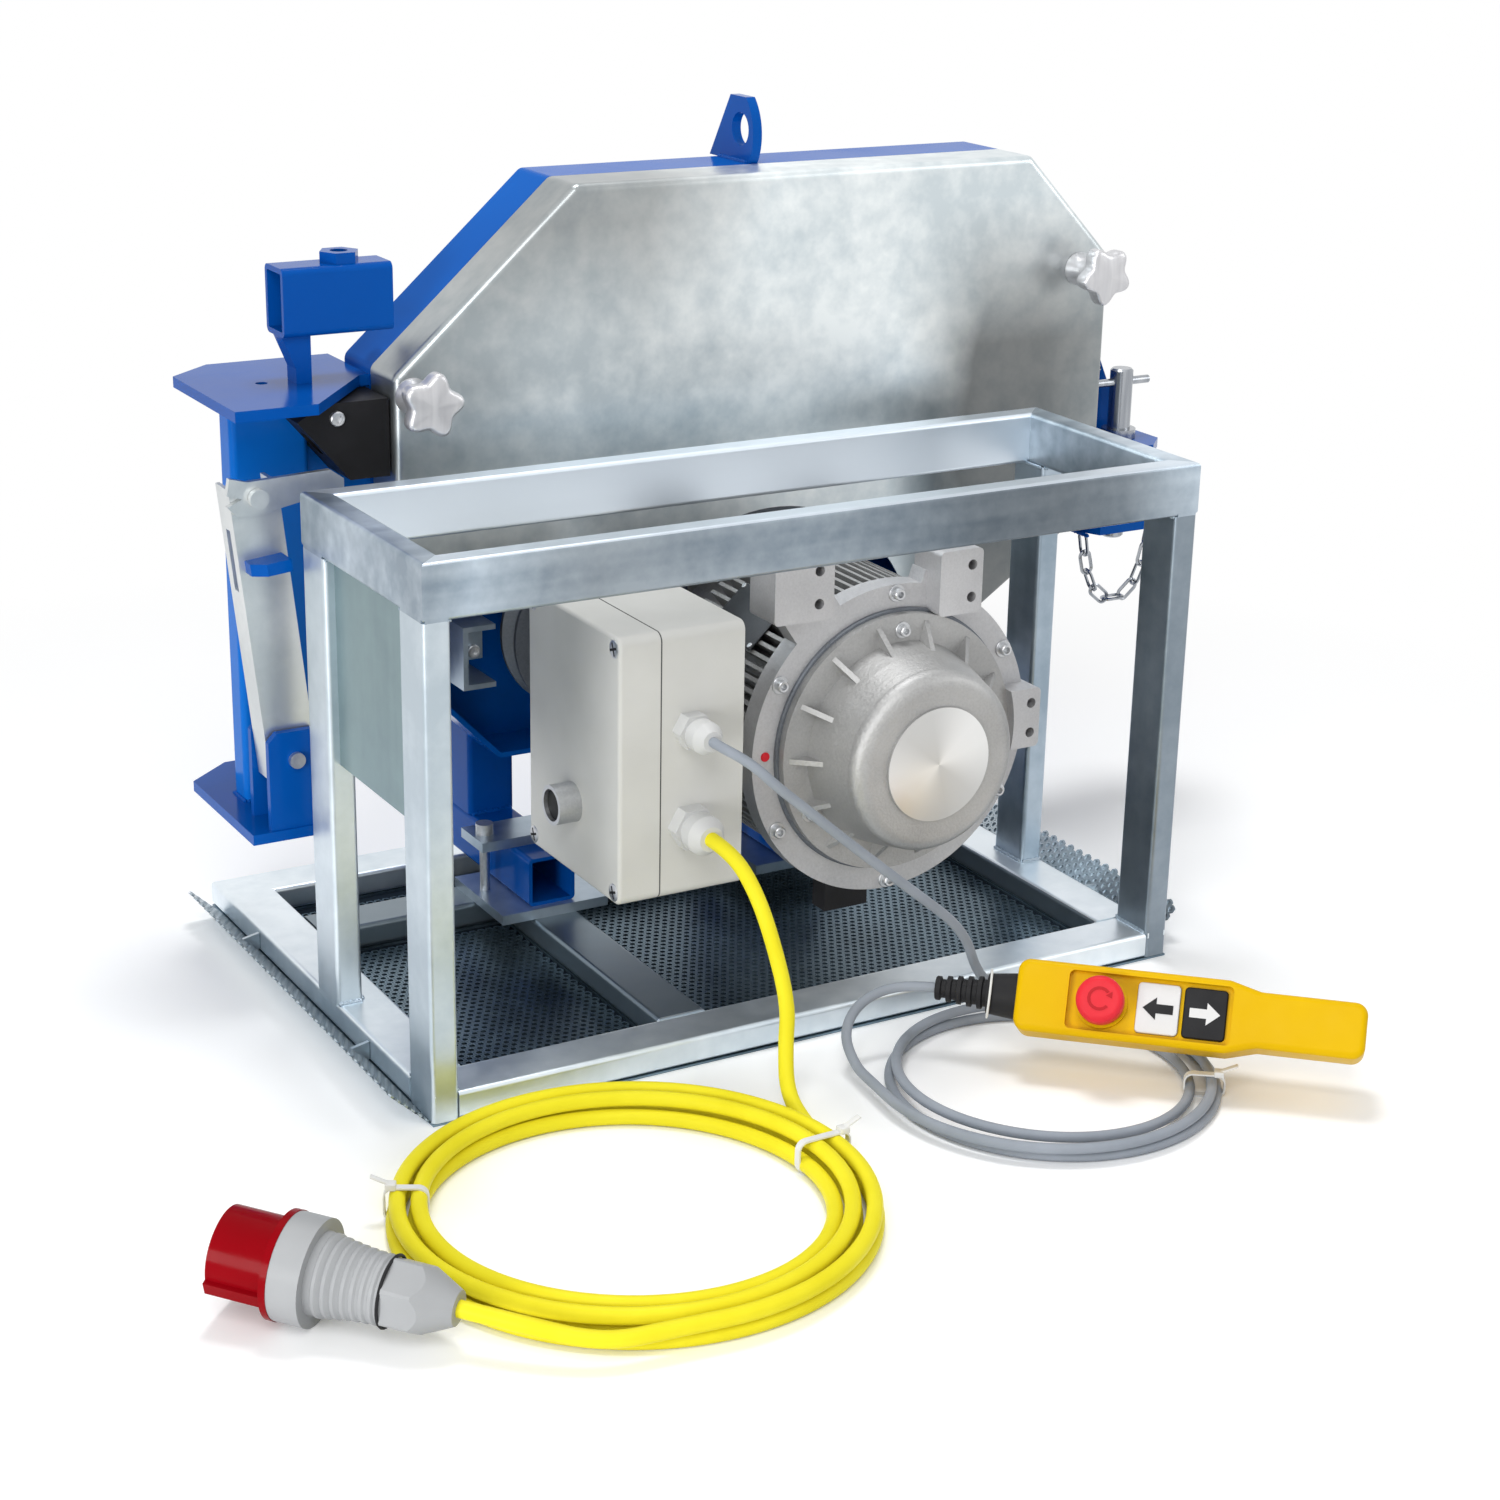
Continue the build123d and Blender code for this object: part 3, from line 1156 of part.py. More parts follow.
def pendant():
    half = PENDANT_W / 2
    grip = PENDANT_GRIP_W / 2
    shape = [
        (0, -half),
        (PENDANT_HEAD_L, -half),
        (PENDANT_HEAD_L + PENDANT_TAPER, -grip),
        (PENDANT_L, -grip),
        (PENDANT_L, grip),
        (PENDANT_HEAD_L + PENDANT_TAPER, grip),
        (PENDANT_HEAD_L, half),
        (0, half),
    ]
    face = make_face(Polyline(*shape, close=True))
    face = fillet(face.vertices(), PENDANT_ROUND)
    body = extrude(face, amount=PENDANT_T)
    body = fillet(body.faces().sort_by(Axis.Z)[0].edges(), PENDANT_ROUND)
    body = fillet(body.faces().sort_by(Axis.Z)[-1].edges(), PENDANT_FACE_ROUND)
    top = PENDANT_T - RECESS_DEEP
    recess = RectangleRounded(RECESS_TO - RECESS_FROM, RECESS_W, RECESS_ROUND)
    body -= Pos((RECESS_FROM + RECESS_TO) / 2, 0, top) * extrude(recess, amount=PENDANT_T)
    body += Pos(ESTOP_AT, 0, top + ESTOP_COLLAR_H / 2) * Cylinder(ESTOP_COLLAR_R, ESTOP_COLLAR_H)
    stem_low = top + ESTOP_LIFT - ESTOP_STEM_L
    hole_low = stem_low - ESTOP_TRAVEL - KEY_GAP
    body -= Pos(ESTOP_AT, 0, hole_low) * extrude(Circle(ESTOP_STEM_R + FIT), amount=PENDANT_T)
    for at in KEY_AT:
        pocket = RectangleRounded(KEY_L + 2 * KEY_GAP, KEY_W + 2 * KEY_GAP, 3 + KEY_GAP)
        body -= Pos(at, 0, top - KEY_POCKET) * extrude(pocket, amount=KEY_POCKET)
    seat = pendant_seat()
    keep("pendant_body", seat * body)

    stem = Pos(0, 0, stem_low) * extrude(Circle(ESTOP_STEM_R), amount=ESTOP_STEM_L)
    cap = Pos(0, 0, top + ESTOP_LIFT) * extrude(Circle(ESTOP_R), amount=ESTOP_H)
    cap = fillet(cap.faces().sort_by(Axis.Z)[-1].edges(), ESTOP_H / 3)
    keep("stop_button", seat * (Pos(ESTOP_AT, 0, 0) * (stem + cap)))
    for name, at in zip(("back_key", "forward_key"), KEY_AT):
        key = Pos(at, 0, top - KEY_IN) * extrude(RectangleRounded(KEY_L, KEY_W, 3), amount=KEY_IN + KEY_OUT)
        keep(name, seat * fillet(key.faces().sort_by(Axis.Z)[-1].edges(), 1.0))

    centre = PENDANT_T / 2
    step = (BELLOWS_L - BELLOWS_SLEEVE_L) / BELLOWS_RIDGES
    profile = [(0, 0), (0, BELLOWS_R), (-BELLOWS_SLEEVE_L, BELLOWS_R * 0.85)]
    for index in range(BELLOWS_RIDGES):
        share = 1 - index / BELLOWS_RIDGES
        ridge = BELLOWS_TIP_R + share * (BELLOWS_R * 0.7 - BELLOWS_TIP_R)
        x = -BELLOWS_SLEEVE_L - index * step
        profile.append((x, ridge - 2.0))
        profile.append((x - step * 0.4, ridge - 2.0))
        profile.append((x - step * 0.5, ridge))
        profile.append((x - step * 0.9, ridge))
    profile.append((-BELLOWS_L, BELLOWS_TIP_R))
    profile.append((-BELLOWS_L, 0))
    sleeve = revolve(make_face(Polyline(*profile, close=True)), Axis.X)
    keep("pendant_bellows", seat * (Pos(0, 0, centre) * sleeve))


def plug():
    seat = Pos(*PLUG_END) * Rot(0, 0, PLUG_TURN) * Rot(0, -PLUG_TILT, 0)
    cap_end = PLUG_CAP_L
    body_end = cap_end + PLUG_BODY_L
    collar_end = body_end + PLUG_COLLAR_L
    nut = [(0, 0), (0, PLUG_CAP_TIP_R), (cap_end * 0.55, PLUG_CAP_R), (cap_end, PLUG_CAP_R), (cap_end, 0)]
    cap = revolve(make_face(Polyline(*nut, close=True)), Axis.X)
    flats = extrude(RegularPolygon(PLUG_CAP_FLAT, 6, major_radius=False), amount=cap_end)
    cap &= Rot(0, 90, 0) * flats
    profile = [(cap_end, 0), (cap_end, PLUG_WAIST_R)]
    step = PLUG_BODY_L / (PLUG_RIBS + 1)
    for index in range(PLUG_RIBS):
        x = cap_end + (index + 0.5) * step
        share = ((index + 1) / (PLUG_RIBS + 1)) ** 2
        r = PLUG_WAIST_R + share * (PLUG_BODY_R - PLUG_WAIST_R)
        profile.append((x, r))
        profile.append((x + step * 0.25, r + 1.0))
        profile.append((x + step * 0.6, r + 1.0))
        profile.append((x + step * 0.75, r))
    profile.append((body_end, PLUG_BODY_R))
    profile.append((body_end, PLUG_COLLAR_R))
    profile.append((collar_end, PLUG_COLLAR_R))
    profile.append((collar_end, 0))
    body = cap + revolve(make_face(Polyline(*profile, close=True)), Axis.X)
    for index in range(PLUG_PINS):
        angle = 2 * pi * index / PLUG_PINS
        pin = Pos(collar_end + PLUG_PIN_L / 2, PLUG_PIN_CIRCLE * cos(angle), PLUG_PIN_CIRCLE * sin(angle))
        body += pin * Rot(0, 90, 0) * Cylinder(PLUG_PIN_R, PLUG_PIN_L)
    keep("plug_body", seat * body)
    inner = PLUG_SHROUD_R - PLUG_SHROUD_WALL
    mouth = collar_end + PLUG_SHROUD_L
    shroud = [
        (collar_end, inner),
        (collar_end, PLUG_RIM_R),
        (collar_end + PLUG_RIM_T, PLUG_RIM_R),
        (collar_end + PLUG_RIM_T, PLUG_SHROUD_R),
        (mouth, PLUG_SHROUD_R),
        (mouth, inner),
    ]
    tube_part = revolve(make_face(Polyline(*shroud, close=True)), Axis.X)
    key_x = (collar_end + PLUG_RIM_T / 2, mouth)
    key_z = (PLUG_SHROUD_R - PLUG_SHROUD_WALL / 2, PLUG_SHROUD_R + PLUG_KEY[1])
    key = block(key_x, (-PLUG_KEY[0] / 2, PLUG_KEY[0] / 2), key_z)
    keep("plug_shroud", seat * (tube_part + Rot(PLUG_KEY_TURN, 0, 0) * key))


def arc_between(start, tangent, end):
    chord = end - start
    across = chord - tangent * chord.dot(tangent)
    if across.length < 1e-6:
        return Line(start, end)
    normal = across.normalized()
    radius = chord.dot(chord) / (2 * chord.dot(normal))
    centre = start + normal * radius
    middle = (start + end) * 0.5 - centre
    return ThreePointArc(start, centre + middle.normalized() * radius, end)


def biarc(start, start_dir, end, end_dir):
    chord = end - start
    both = start_dir + end_dir
    a = 2 * (1 - start_dir.dot(end_dir))
    b = 2 * chord.dot(both)
    c = -chord.dot(chord)
    if abs(a) < 1e-9:
        reach = -c / b
    else:
        reach = (-b + (b * b - 4 * a * c) ** 0.5) / (2 * a)
    joint = (start + start_dir * reach + end - end_dir * reach) * 0.5
    second = arc_between(end, -end_dir, joint)
    return [arc_between(start, start_dir, joint), second]


def coil_point(at, radius, step, start, turns, diameter, lift, t):
    u = t - turns / 2
    spread = abs(u) if abs(u) > 0.25 else 2 * u * u + 0.125
    r = radius - step * (turns / 2) + step * spread
    share = min(1.0, max(0.0, (u + 0.25) / 0.5))
    climb = share * share * (3 - 2 * share)
    angle = radians(start) - 2 * pi * t
    z = diameter / 2 + lift + climb * (diameter + LAYER_GAP)
    return Vector(at[0] + r * cos(angle), at[1] + r * sin(angle), z)


def coil_heading(spec, t):
    small = 1e-4
    return (coil_point(*spec, t + small) - coil_point(*spec, t - small)).normalized()


def coil_ends(spec, turns, diameter):
    first = coil_point(*spec, 0.0)
    last = coil_point(*spec, turns)
    first_dir = flat_heading(spec, 0.0)
    last_dir = flat_heading(spec, turns)
    return first - first_dir * diameter, first_dir, last + last_dir * diameter, last_dir


def flat_heading(spec, t):
    heading = coil_heading(spec, t)
    return Vector(heading.X, heading.Y, 0).normalized()


def coil_gap(spec, turns, diameter):
    per_turn = 48
    count = int(turns * per_turn)
    points = [coil_point(*spec, index / per_turn) for index in range(count + 1)]
    least = diameter * 99
    for i, a in enumerate(points):
        for b in points[i + per_turn // 2:]:
            least = min(least, (a - b).length)
    return least - diameter


def wound_coil(name, spec, turns, diameter):
    quarter = 0.25
    count = int(round(turns / quarter))
    stops = [turns * index / count for index in range(count + 1)]
    begin, begin_dir, finish, finish_dir = coil_ends(spec, turns, diameter)
    points = [coil_point(*spec, t) for t in stops]
    headings = [coil_heading(spec, t) for t in stops]
    headings[0] = begin_dir
    headings[-1] = finish_dir
    edges = [Line(begin, points[0])]
    for index in range(count):
        edges += biarc(points[index], headings[index], points[index + 1], headings[index + 1])
    edges.append(Line(points[-1], finish))
    path = Wire(edges)
    section = Plane(origin=begin, z_dir=begin_dir) * Circle(diameter / 2)
    coil = sweep(section, path)
    ideal = pi * diameter * diameter / 4 * path.length
    print(name, "length", round(path.length), "volume share", round(coil.volume / ideal, 4))
    print(name, "least gap to itself", round(coil_gap(spec, turns, diameter), 2))
    keep(name, coil)


def free_run(name, points, diameter):
    vectors = [Vector(*point) for point in points]
    radii = []
    for before, corner, after in zip(vectors, vectors[1:], vectors[2:]):
        turn = (corner - before).get_angle(after - corner)
        run = min((corner - before).length, (after - corner).length)
        radii.append(0.45 * run / tan(radians(turn) / 2))
    path = FilletPolyline(*vectors, radius=radii)
    wire = Wire(path.edges())
    first = (vectors[1] - vectors[0]).normalized()
    section = Plane(origin=vectors[0], z_dir=first) * Circle(diameter / 2)
    run = sweep(section, wire)
    ideal = pi * diameter * diameter / 4 * wire.length
    print(name, "length", round(wire.length), "volume share", round(run.volume / ideal, 4))
    print(name, "radii", [round(r) for r in radii])
    keep(name, run)


def lead_exit():
    tip = pendant_seat() * Pos(-BELLOWS_L, 0, PENDANT_T / 2)
    axis = pendant_seat() * Pos(-BELLOWS_L - LEAD_D, 0, PENDANT_T / 2)
    return tip.position, (axis.position - tip.position).normalized()


def cords():
    mains = (MAINS_AT, MAINS_R, MAINS_STEP, MAINS_START, MAINS_TURNS, MAINS_D, MAINS_LIFT)
    lead = (LEAD_AT, LEAD_R, LEAD_STEP, LEAD_START, LEAD_TURNS, LEAD_D, LEAD_LIFT)
    wound_coil("mains_coil", mains, MAINS_TURNS, MAINS_D)
    wound_coil("lead_coil", lead, LEAD_TURNS, LEAD_D)
    tip_y = BOX_Y - GLAND_HEX_L - GLAND_DOME_L
    upper, lower = gland_places()

    begin, begin_dir, finish, finish_dir = coil_ends(mains, MAINS_TURNS, MAINS_D)
    x, z = lower[:2]
    free_run(
        "mains_run",
        [
            (x, tip_y, z),
            (x, tip_y - 28, z),
            (x + 2, tip_y - 54, z - 14),
            (x + 7, tip_y - 71, z - 43),
            (x + 14, tip_y - 87, z - 94),
            (x + 10, tip_y - 91, z - 123),
            (x + 1, tip_y - 109, z - 151),
            begin - begin_dir * 24,
            begin,
        ],
        MAINS_D,
    )
    plug_axis = Pos(*PLUG_END) * Rot(0, 0, PLUG_TURN) * Rot(0, -PLUG_TILT, 0)
    plug_out = ((plug_axis * Pos(-1, 0, 0)).position - plug_axis.position).normalized()
    plug_end = Vector(*PLUG_END)
    free_run(
        "mains_tail",
        [
            finish,
            finish + finish_dir * 44,
            plug_end + plug_out * 40,
            plug_end,
        ],
        MAINS_D,
    )

    begin, begin_dir, finish, finish_dir = coil_ends(lead, LEAD_TURNS, LEAD_D)
    x, z = upper[:2]
    free_run(
        "lead_run",
        [
            (x, tip_y, z),
            (x, tip_y - 14, z),
            (x + 6, tip_y - 30, z - 3),
            (x + 15, tip_y - 41, z - 11),
            (x + 25, tip_y - 46, z - 22),
            (x + 44, tip_y - 43, z - 38),
            (x + 87, tip_y - 44, z - 76),
            (x + 144, tip_y - 43, z - 124),
            (x + 192, tip_y - 41, z - 164),
            (x + 213, tip_y - 31, z - 209),
            (x + 235, tip_y - 28, z - 226),
            begin - begin_dir * 25,
            begin,
        ],
        LEAD_D,
    )
    tip, out = lead_exit()
    free_run(
        "lead_tail",
        [
            finish,
            finish + finish_dir * 27,
            finish + finish_dir * 27 + Vector(4, 24, 16),
            finish + finish_dir * 27 + Vector(28, 39, 30),
            tip + out * 26,
            tip,
        ],
        LEAD_D,
    )


def build():
    stand()
    skid()
    foot_supports()
    housing()
    lifting_eye()
    rope_wheels()
    gearbox()
    motor()
    control_box()
    cable_glands()
    left_mount()
    lever_and_latch()
    anchor()
    bracket_channel()
    star_knobs()
    pendant()
    plug()
    cords()
    home = Pos(-FRAME_L / 2, -BASE_D / 2, 0)
    for name, solids in nodes.items():
        pieces = [solid for part in solids for solid in part.solids()]
        moved = [home * piece for piece in pieces]
        shape = moved[0] if len(moved) == 1 else Compound(children=moved)
        export_step(shape, os.path.join("parts", name + ".step"))
    print(len(nodes), "nodes")


build()
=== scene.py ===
import bpy
import bmesh
import json
import math
from mathutils import Matrix, Vector


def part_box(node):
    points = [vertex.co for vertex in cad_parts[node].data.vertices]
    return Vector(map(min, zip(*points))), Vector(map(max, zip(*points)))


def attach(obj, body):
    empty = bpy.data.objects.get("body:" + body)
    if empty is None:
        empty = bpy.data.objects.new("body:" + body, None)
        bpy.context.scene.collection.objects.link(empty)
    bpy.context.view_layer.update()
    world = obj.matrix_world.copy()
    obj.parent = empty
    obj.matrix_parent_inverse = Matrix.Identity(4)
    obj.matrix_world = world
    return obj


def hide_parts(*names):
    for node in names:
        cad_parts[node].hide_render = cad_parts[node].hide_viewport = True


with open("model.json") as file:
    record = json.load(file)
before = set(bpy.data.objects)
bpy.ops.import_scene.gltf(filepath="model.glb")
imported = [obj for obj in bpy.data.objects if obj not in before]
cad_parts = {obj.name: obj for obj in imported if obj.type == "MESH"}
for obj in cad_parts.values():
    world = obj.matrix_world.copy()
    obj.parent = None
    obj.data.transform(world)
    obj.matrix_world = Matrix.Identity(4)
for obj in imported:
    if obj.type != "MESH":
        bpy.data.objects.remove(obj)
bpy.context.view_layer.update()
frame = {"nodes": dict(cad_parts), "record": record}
nodes = frame["nodes"]
scene = bpy.context.scene
scene.view_settings.view_transform = "Standard"
standMiddle = (315, 220)  # the frame's origin, in millimetres from the stand's front left corner
move = Matrix.Translation


def place(x, y, z):  # millimetres from the stand's front left corner to the shared frame
    return Vector((x - standMiddle[0], y - standMiddle[1], z)) / 1000


def turnAbout(axis, degrees):
    return Matrix.Rotation(math.radians(degrees), 4, axis)


def polar(reach, degrees):
    turn = math.radians(degrees)
    return reach * math.cos(turn), reach * math.sin(turn)


# camera, room and light
photo = {
    "lens": 67.1, "azimuth": 30.38, "elevation": 19.63, "roll": 1.15, "distance": 1.9536,
    "target": (245.5, 0, 235), "farthest": 50,
}
around, above = math.radians(photo["azimuth"]), math.radians(photo["elevation"])
back = Vector((-math.sin(around) * math.cos(above), -math.cos(around) * math.cos(above), math.sin(above)))
camera = bpy.data.objects.new("camera", bpy.data.cameras.new("camera"))
camera.data.lens = photo["lens"]
camera.data.clip_end = photo["farthest"]
camera.location = place(*photo["target"]) + back * photo["distance"]
camera.rotation_mode = "QUATERNION"
tilt = turnAbout("Z", photo["roll"]).to_quaternion()
camera.rotation_quaternion = (-back).to_track_quat("-Z", "Y") @ tilt
scene.collection.objects.link(camera)
scene.camera = camera


class Sock:  # a shader socket that takes + - * and comparisons
    def __init__(self, finish, socket):
        self.finish = finish
        self.socket = socket

    def __add__(self, other):
        return self.finish.maths("ADD", self, other)

    def __sub__(self, other):
        return self.finish.maths("SUBTRACT", self, other)

    def __rsub__(self, other):
        return self.finish.maths("SUBTRACT", other, self)

    def __mul__(self, other):
        return self.finish.maths("MULTIPLY", self, other)

    def __lt__(self, other):
        return self.finish.maths("LESS_THAN", self, other)

    def __gt__(self, other):
        return self.finish.maths("GREATER_THAN", self, other)

    def __abs__(self):
        return self.finish.maths("ABSOLUTE", self)


class Finish:  # one material and the few node calls it is made with
    def __init__(self, name, **fixed):
        self.material = bpy.data.materials.new(name)
        self.material.use_nodes = True
        self.tree = self.material.node_tree
        self.shader = self.tree.nodes["Principled BSDF"]
        for socket, value in fixed.items():
            self.put(socket.replace("_", " "), value)

    def link(self, value, socket):
        if isinstance(value, Sock):
            self.tree.links.new(value.socket, socket)
        else:
            socket.default_value = value

    def node(self, kind, settings=None, values=None, out=0):
        made = self.tree.nodes.new(kind)
        for key, value in (settings or {}).items():
            if key == "stops":
                stops = made.color_ramp.elements
                while len(stops) < len(value):
                    stops.new(0.5)
                for stop, (where, colour) in zip(stops, value):
                    stop.position = where
                    stop.color = colour
            else:
                setattr(made, key, value)
        for key, value in (values or {}).items():
            self.link(value, made.inputs[key])
        return Sock(self, made.outputs[out])

    def maths(self, operation, *values):
        return self.node("ShaderNodeMath", {"operation": operation}, dict(enumerate(values)))

    def put(self, socket, value):
        self.link(value, self.shader.inputs[socket])

    def where(self, scale=(1, 1, 1), shift=(0, 0, 0)):
        seat = self.node("ShaderNodeTexCoord", out=3)
        return self.node("ShaderNodeMapping", {}, {"Vector": seat, "Scale": scale, "Location": shift})

    def part(self, vector, axis):  # one coordinate of a vector
        return self.node("ShaderNodeSeparateXYZ", {}, {0: vector}, out=axis)

    def at(self, axis):  # one coordinate of the spot that is shaded
        return self.part(self.where(), axis)

    def noise(self, vector, scale, detail, rough=0.5, warp=0):
        values = {"Vector": vector, "Scale": scale, "Detail": detail, "Roughness": rough, "Distortion": warp}
        return self.node("ShaderNodeTexNoise", {}, values)

    def spread(self, value, low, high, least=0, most=1):
        values = {"Value": value, "From Min": low, "From Max": high, "To Min": least, "To Max": most}
        return self.node("ShaderNodeMapRange", {}, values)

    def mix(self, share, first, second, blend="MIX"):
        settings = {"data_type": "RGBA", "blend_type": blend}
        return self.node("ShaderNodeMix", settings, {0: share, 6: first, 7: second}, out=2)

    def bump(self, height, deep, strength):
        return self.node("ShaderNodeBump", {}, {"Height": height, "Distance": deep, "Strength": strength})


def rgb(red, green, blue):
    return (red, green, blue, 1)


room = {
    "day": 0.42, "sky": 1.0, "floor": rgb(0.90, 0.905, 0.91), "cloud": rgb(0.85, 0.86, 0.87), "size": 40,
    "lift": rgb(0.2, 0.2, 0.2), "glowFrom": 0.55, "glowTo": 1.15,
    "under": (0.312, 0.217), "underPaintedShade": rgb(0.012, 0.02, 0.03),
}


def backdropRays(tree):  # 1 on the rays that show the background itself
    rays = tree.nodes.new("ShaderNodeLightPath")
    seen = rays.outputs["Is Camera Ray"]
    for name in ("Is Glossy Ray", "Is Transmission Ray"):
        joined = tree.nodes.new("ShaderNodeMath")
        joined.operation = "MAXIMUM"
        tree.links.new(seen, joined.inputs[0])
        tree.links.new(rays.outputs[name], joined.inputs[1])
        seen = joined.outputs[0]
    return seen


world = bpy.data.worlds.new("room")
scene.world = world
world.use_nodes = True
sky = world.node_tree.nodes["Background"]
strength = world.node_tree.nodes.new("ShaderNodeMapRange")
strength.inputs["To Min"].default_value = room["day"]
strength.inputs["To Max"].default_value = room["sky"]
world.node_tree.links.new(backdropRays(world.node_tree), strength.inputs["Value"])
world.node_tree.links.new(strength.outputs[0], sky.inputs["Strength"])
sky.inputs["Color"].default_value = rgb(1, 1, 1)

lamps = {  # place, aim, size, watts
    "key": ((-1.4, -2.1, 2.3), (0.05, -0.05, 0.25), 1.4, 31),
    "low": ((-2.2, -1.2, 0.45), (-0.25, 0.05, 0.3), 0.9, 26),
    "side": ((2.4, -1.5, 1.4), (0.05, 0.0, 0.25), 1.3, 12),
    "top": ((0.1, 0.3, 2.6), (0.0, 0.0, 0.3), 0.7, 26),
}
for name, (stands, aim, size, watts) in lamps.items():
    light = bpy.data.lights.new(name, "AREA")
    light.size = size
    light.energy = watts
    lamp = bpy.data.objects.new(name, light)
    lamp.location = stands
    lamp.rotation_mode = "QUATERNION"
    lamp.rotation_quaternion = (Vector(aim) - Vector(stands)).to_track_quat("-Z", "Y")
    scene.collection.objects.link(lamp)


def objectFrom(mesh, name, finish, smooth=True):
    made = bpy.data.meshes.new(name)
    mesh.to_mesh(made)
    mesh.free()
    obj = bpy.data.objects.new(name, made)
    scene.collection.objects.link(obj)
    made.materials.append(finish.material)
    for face in made.polygons:
        face.use_smooth = smooth
    return obj


floorFinish = Finish("paleFloor", Roughness=0.9, Specular_IOR_Level=0.1)
clouds = floorFinish.noise(floorFinish.where(), 3.0, 2)
pale = floorFinish.mix(clouds, room["cloud"], room["floor"])
underX, underY = room["under"]
under = (abs(floorFinish.at(0)) < underX) * (abs(floorFinish.at(1)) < underY)  # painted shade on the floor under the skid, seen through the skid's holes
floorFinish.put("Base Color", floorFinish.mix(under, pale, room["underPaintedShade"]))
away = floorFinish.node("ShaderNodeVectorMath", {"operation": "LENGTH"}, {0: floorFinish.where()}, out=1)
pure = floorFinish.spread(away, room["glowFrom"], room["glowTo"])
seen = (1 - under) * Sock(floorFinish, backdropRays(floorFinish.tree))
plain = Sock(floorFinish, floorFinish.shader.outputs[0])
lifted = floorFinish.node("ShaderNodeBsdfDiffuse", {}, {"Color": room["lift"]})
paler = floorFinish.node("ShaderNodeAddShader", {}, {0: plain, 1: lifted})  # shadows stay deep
glow = floorFinish.node("ShaderNodeEmission", {}, {"Strength": 1.0})
far = floorFinish.node("ShaderNodeMixShader", {}, {0: pure, 1: paler, 2: glow})
shown = floorFinish.node("ShaderNodeMixShader", {}, {0: seen, 1: plain, 2: far})
floorFinish.link(shown, floorFinish.tree.nodes["Material Output"].inputs["Surface"])
ground = bmesh.new()
bmesh.ops.create_grid(ground, x_segments=1, y_segments=1, size=room["size"])
floor = objectFrom(ground, "floor", floorFinish)
print("room, lamps and camera are set")


# the two cords: run down to the floor, coil, tail
mains = {
    "thick": 11, "centre": (60, -177), "radius": 160, "step": 14, "start": 5, "turns": 4 + 110 / 360,
    "perTurn": 24, "gland": (222, 11, 168), "enter": 24, "leave": 44,
    "hang": ((0, -28, 0), (2, -54, -14), (7, -71, -43), (14, -87, -94), (10, -91, -123), (1, -109, -151)),
}
lead = {
    "thick": 7.5, "centre": (412, -142), "radius": 126, "step": 20, "start": 45, "turns": 2 + 240 / 360,
    "perTurn": 24, "gland": (222, 11, 241), "enter": 25, "leave": 27,
    "hang": (
        (0, -14, 0), (6, -30, -3), (15, -41, -11), (25, -46, -22), (44, -43, -38), (87, -44, -76),
        (144, -43, -124), (192, -41, -164), (213, -31, -209), (235, -28, -226),
    ),
    "rise": ((4, 24, 16), (28, 39, 30)),
}
layers = {"cross": 0.25, "floorGap": 0.2, "gap": 0.6}  # a coil crosses to its upper layer within half a turn
plugSeat = {"end": Vector((-101, -266, 27.5)), "turn": 132.5, "tilt": 4, "straight": 40}
pendant = {"at": (428, -86, 38.65), "turn": -43, "roll": 58, "cordEnd": (-60, 0, 22), "straight": 26}
pendantSeat = move(pendant["at"]) @ turnAbout("Z", pendant["turn"]) @ turnAbout("X", pendant["roll"])


def coilPoints(coil):  # inwards on the floor, then outwards on top
    made = []
    cross = layers["cross"]
    least = coil["radius"] - coil["step"] * coil["turns"] / 2
    count = round(coil["turns"] * coil["perTurn"])
    for number in range(count + 1):
        turn = coil["turns"] * number / count
        offset = turn - coil["turns"] / 2
        spread = abs(offset) if abs(offset) > cross else offset * offset / (2 * cross) + cross / 2
        radius = (least + coil["step"] * spread) / math.cos(math.pi / coil["perTurn"]) ** 0.5
        share = min(max((offset + cross) / (2 * cross), 0), 1)
        climb = share * share * (3 - 2 * share)
        x, y = polar(radius, coil["start"] - 360 * turn)
        height = coil["thick"] / 2 + layers["floorGap"] + climb * (coil["thick"] + layers["gap"])
        made.append(Vector((coil["centre"][0] + x, coil["centre"][1] + y, height)))
    return made


def flatHeading(first, second):
    way = second - first
    way.z = 0
    return way.normalized()


def cordRoute(cord):  # from the gland to the end of the coil
    turns = coilPoints(cord)
    start = Vector(cord["gland"])
    comes = flatHeading(turns[0], turns[1])
    goes = flatHeading(turns[-2], turns[-1])
    begin = turns[0] - comes * cord["thick"]
    finish = turns[-1] + goes * cord["thick"]
    before = [start] + [start + Vector(step) for step in cord["hang"]]
    before += [begin - comes * cord["enter"], begin]
    return before + turns + [finish, finish + goes * cord["leave"]]


def cordCurve(name, points, thick, finish):
    curve = bpy.data.curves.new(name, "CURVE")
    curve.dimensions = "3D"
    curve.bevel_depth = thick / 2000
    curve.bevel_resolution = 6
    curve.resolution_u = 6
    curve.use_fill_caps = True
    spline = curve.splines.new("NURBS")
    spline.points.add(len(points) - 1)
    for point, spot in zip(spline.points, points):
        point.co = (*place(*spot), 1)
    spline.order_u = 3
    spline.use_endpoint_u = True
    obj = bpy.data.objects.new(name, curve)
    scene.collection.objects.link(obj)
    curve.materials.append(finish.material)
    return obj


def cableFinish(name, colour, shade):
    made = Finish(name, Specular_IOR_Level=0.07)
    soft = made.noise(made.where(), 26, 3)
    made.put("Base Color", made.mix(made.spread(soft, 0.3, 0.75), colour, shade))
    fine = made.noise(made.where(), 900, 2)
    made.put("Roughness", made.spread(soft, 0.3, 0.7, 0.36, 0.5))
    made.put("Normal", made.bump(fine, 0.0002, 0.35))
    return made


